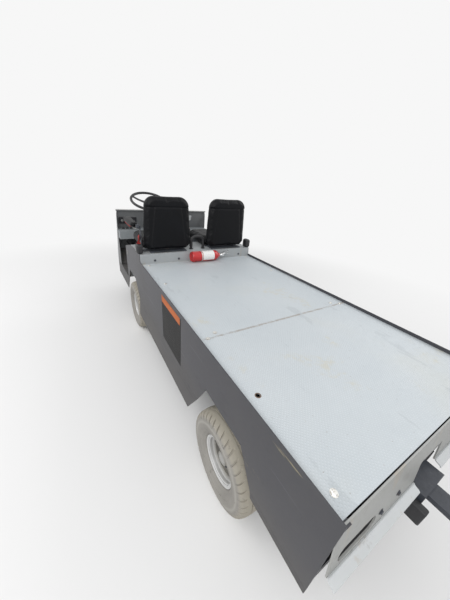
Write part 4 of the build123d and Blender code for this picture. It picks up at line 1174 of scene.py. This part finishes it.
def makeArmrest(settings):
    # a padded bar that narrows to the pivot and rounds off at its ends by quarter circles, over a bright bracket
    # with a red strip under its front
    low, high = nodeBox("armrest")
    y, out, ends = (low[1] + high[1]) / 2, settings["out"], settings["ends"]
    rise = high[2] - settings["thick"] - 0.0010
    rear = low[0] + settings["rear"]
    t = np.linspace(0, 1, 26)
    path = np.stack([rear + t * (high[0] - 0.001 - rear), np.full(26, y + out), np.full(26, rise)], -1)
    round1, round2 = (np.sqrt(np.clip(1 - v ** 2, 0.03, 1)) for v in (1 - t / ends, (t - 1 + ends) / ends))
    grow = np.where(t < ends, round1, 1) * np.where(t > 1 - ends, round2, 1)
    grow = grow * (settings["rearScale"] + (1 - settings["rearScale"]) * softStep(t / 0.5))
    section = roundRect(2 * settings["half"], 2 * settings["thick"], settings["round"], 6)
    z = rise - settings["thick"] - settings["bracketDrop"]
    line = smoothPath([(low[0] + 0.016, y, z + 0.004), (rear, y, z + 0.001), (low[0] + 0.200, y, z),
                       (high[0] - 0.120, y, z)], 6)
    parts = [
        carried("armrestPad", "vinyl", path, section, sharp=60, scale=grow),
        carried("armrestBar", "zinc", line, roundRect(*settings["bar"])),
        roundBlock("armrestStrip", "belt", (high[0] - settings["stripIn"], y + out, z + 0.0015),
                   settings["strip"], 0.0025),
        turned("armrestPivot", "steel", settings["pivotTurn"], np.array([low[0], y, low[2]]) + settings["pivot"],
               (0, 1, 0), 32),
    ]
    fit("armrestSet", parts, "armrest", "arm_rest")


retractor = {"rounds": (0.016, 0.012), "lid": (0.86, 0.80), "lidUp": 0.02, "bolt": (-0.012, 0.005, -0.008),
             "boltSize": (0.012, 0.0045), "mouth": (0.052, 0.008, 0.005), "mouthDrop": 0.003}


def makeRetractor(side, sign, settings):
    # a rounded case with a lid, a bolt and the mouth of the belt
    low, high = nodeBox(f"belt_retractor_{side}")
    middle, size = (low + high) / 2, high - low
    outer = high[1] if sign > 0 else low[1]
    wide, tall = settings["lid"]
    x, inset, z = settings["bolt"]
    parts = [
        roundBlock(f"retractorCase{side}", "black", middle, size - 0.001, settings["rounds"][0], "y"),
        roundBlock(f"retractorLid{side}", "black", middle + (0, 0, size[2] * settings["lidUp"]),
                   (size[0] * wide, size[1] - 0.0004, size[2] * tall), settings["rounds"][1], "y"),
        hexHead(f"retractorBolt{side}", "plated", (middle[0] + x, outer - sign * inset, middle[2] + z),
                (0, sign, 0), *settings["boltSize"]),
        roundBlock(f"retractorMouth{side}", "frame", (*middle[:2], high[2] - settings["mouthDrop"]),
                   settings["mouth"], 0.0015),
    ]
    fit(f"retractor{side.title()}Set", parts, f"belt_retractor_{side}")


hoop = {"bend": 0.045, "straight": 0.03, "footOver": 0.0085, "footThick": 0.004, "collar": (0.003, 0.006)}


def makeHoop(settings):
    # a tube bent into a hoop, standing on two round feet
    low, high = nodeBox("hip_restraint")
    r, bend = (high[0] - low[0]) / 2 - 0.0002, settings["bend"]
    x, half = (low[0] + high[0]) / 2, high[1] - r
    line = [(half, low[2] + 0.001), (half, low[2] + settings["straight"])]
    line += list(arc(half - bend, high[2] - r - bend, bend, 7))
    line += [(-y, z) for y, z in line[::-1]]
    rim, thick, (collar, top) = r + settings["footOver"], settings["footThick"], settings["collar"]
    foot = [(0, 0.0005), (rim, 0.0005), (rim, thick), (r + collar, top), (0, top)]
    parts = [carried("hoopTube", "black", [(x, y, z) for y, z in line], ring(r, 20), (1, 0, 0))]
    parts += [turned(f"hoopFoot{sign}", "black", foot, (x, sign * half, low[2]), (0, 0, 1), 28) for sign in signs]
    fit("hipHoop", parts, "hip_restraint")


belts = {
    "inner": 0.020, "outer": 0.013, "stalk": (0.018, 0.005, 0.0022), "case": (0.034, 0.020, 0.062),
    "button": (0.022, 0.012, 0.006), "strip": (0.0016, 0.038, 0.0006, 3),
}


def makeBelts(settings):
    # a buckle on its stalk at the driver's inner hip, and a short red stretch of belt at the outer one
    foot = np.array([backHigh[0] + 0.020, seatMiddle - seatHalf - settings["inner"], baseLow[2] + 0.002])
    line = smoothPath([foot, foot + (0.010, 0, 0.060), foot + (0.030, 0, 0.105)], 6)
    parts = [
        carried("buckleStalk", "black", line, roundRect(*settings["stalk"]), (0, 1, 0)),
        roundBlock("buckleCase", "black", foot + (0.036, 0, 0.135), settings["case"], 0.006, "y"),
        roundBlock("buckleButton", "red", foot + (0.036, 0, 0.1665), settings["button"], 0.002),
    ]
    fit("beltBuckle", parts)
    low, high = nodeBox("belt_retractor_left")
    start = np.array([(low[0] + high[0]) / 2, (low[1] + high[1]) / 2, high[2] - 0.001])
    x, outer, z = backHigh[0], seatMiddle + seatHalf + settings["outer"], baseHigh[2]
    line = smoothPath([start, start + (0.010, -0.004, 0.022), (x - 0.004, outer, z + 0.018),
                       (x + 0.030, outer - 0.001, z + 0.012), (x + 0.070, outer - 0.004, z - 0.010)], 8)
    attach(carried("beltStretch", "belt", line, roundRect(*settings["strip"]), (0.3, 0, 1)))


headlamp = {
    # shares of the lamp's radius with distances from its rear or, where below zero, from its front
    "bowl": ((0, 0.0005), (0.45, 0.0015), (0.80, 0.010), (0.93, 0.022), (0.95, -0.014), (0.90, -0.014),
             (0.88, 0.026), (0.74, 0.013), (0, 0.005)),
    "bezel": ((0.955, -0.022), (1, -0.018), (1, -0.008), (0.955, -0.002), (0.89, -0.004), (0.885, -0.012),
              (0.95, -0.012)),
    "lens": ((0, -0.013), (0.885, -0.013)), "dome": 0.0105, "domeFoot": 0.011,
}


def makeHeadlamp(side, settings):
    # a bowl in a chrome bezel behind a ribbed lens that domes by the sine of a share of its radius
    low, high = nodeBox(f"headlamp_{side}")
    middle = (low + high) / 2
    r, deep = (high[1] - low[1]) / 2 - 0.0004, high[0] - low[0]
    spot = (low[0], *middle[1:])
    profiles = {kind: [(r * share, at if at >= 0 else deep + at) for share, at in settings[kind]]
                for kind in ("bowl", "bezel", "lens")}
    edge = profiles["lens"][-1][0]
    front = deep - settings["domeFoot"]
    profiles["lens"] += [(edge * (1 - k), front + settings["dome"] * math.sin(k * math.pi / 2))
                         for k in np.linspace(0, 1, 12)]
    parts = [turned(f"lamp{kind.title()}{side}", finish, profiles[kind], spot, (1, 0, 0), segments)
             for kind, finish, segments in (("bowl", "frame", 56), ("bezel", "chrome", 72), ("lens", "lens", 56))]
    fit(f"headlamp{side.title()}Set", parts, f"headlamp_{side}")


cabTrim = {
    "knobs": (0.500, 0.455, 0.410), "knobIn": 0.055,
    "knob": mm((0, 0), (15.5, 0), (15.5, 6), (12, 10), (11.8, 20), (9.5, 24), (0, 24.5)),
    "folds": 5, "foldPitch": 0.016, "catch": (-0.075, 0.5665, -0.055),
    # y, rise up the cowl and size
    "panel": (0.440, 0.105, 0.200, 0.080), "panelThick": 0.010,
    "plates": ((-0.200, 0.130, 0.110, 0.060), (-0.345, 0.140, 0.070, 0.070)), "plateThick": 0.0022,
    "switches": (0.505, 0.455, 0.405), "switch": mm((0, 0), (13, 0), (13, 4), (9.5, 7), (9, 16), (0, 16.5)),
}


def makeCabTrim(settings):
    # three knobs on the shelf, a bellows at the foot of the column, and a catch on the seat box
    shelf = nodeBox("dash_panel")[1]
    spots = [(shelf[0] - settings["knobIn"], y, shelf[2]) for y in settings["knobs"]]
    knobs = [turned(f"shelfKnob{i}", "black", settings["knob"], spot, (0, 0, 1), 24)
             for i, spot in enumerate(spots)]
    fit("shelfKnobs", knobs)
    rake, centre = wheelTop["rake"], np.array(wheelTop["centre"])
    ahead = np.array([math.sin(rake), 0, -math.cos(rake)])
    reach = (centre[2] - nodeBox("floor_pan")[0][2] - 0.012) / math.cos(rake)
    profile = [(0, 0.0)]
    for i in range(settings["folds"]):
        at = settings["foldPitch"] * i
        profile += [(0.040 - 0.002 * i, at), (0.031 - 0.0015 * i, at + 0.008)]
    profile += [(0.026, 0.084), (0, 0.084)]
    attach(turned("columnBoot", "black", profile, centre + ahead * reach, -ahead, 32))
    x, y, z = settings["catch"]
    spot = np.array([nodeBox("seat_box")[1][0] + x, y, deckTop + z])
    catch = [roundBlock("catchPlate", "black", spot, (0.030, 0.0030, 0.070), 0.001, "y"),
             roundBlock("catchLever", "zinc", spot + (0, 0.0045, 0.006), (0.016, 0.006, 0.040), 0.002, "y")]
    fit("seatBoxCatch", catch)

    # blank plates and a switch panel on the raked inner face of the cowl, whose line runs from the shelf's front
    # edge up to the top roll
    cowlLow, cowlHigh = nodeBox("cowl_shell")
    up = np.array([cowlLow[0] + 0.016, 0.0, cowlHigh[2] - 0.012]) - (shelf[0], 0.0, shelf[2])
    up /= np.linalg.norm(up)
    out = np.array([-up[2], 0.0, up[0]])
    foot = lambda y, rise: np.array([shelf[0], y, shelf[2]]) + rise * up

    def onCowl(name, finish, y, rise, wide, tall, thick):
        loop = roundRect(wide, tall, 0.006)
        rows = [foot(y, rise) + grow * (loop[:, :1] * (0, 1, 0) + loop[:, 1:] * up) + lift * out
                for lift, grow in ((-0.002, 1.0), (thick * 0.7, 1.0), (thick, 0.985))]
        return surface(name, finish, rows, caps=True, sharp=30)

    panel = settings["panel"]
    parts = [onCowl("switchPanel", "frame", *panel, settings["panelThick"])]
    parts += [turned(f"switchKnob{i}", "zinc", settings["switch"], foot(y, panel[1]) + 0.0095 * out, out, 24)
              for i, y in enumerate(settings["switches"])]
    fit("switchPanelSet", parts)
    plates = [onCowl(f"blankPlate{i}", "lip", *plate, settings["plateThick"])
              for i, plate in enumerate(settings["plates"])]
    fit("blankPlates", plates)


makeArmrest(armPad)
for side, sign in (("left", 1), ("right", -1)):
    makeRetractor(side, sign, retractor)
    makeHeadlamp(side, headlamp)
makeHoop(hoop)
makeBelts(belts)
makeCabTrim(cabTrim)
print("cab fittings made")
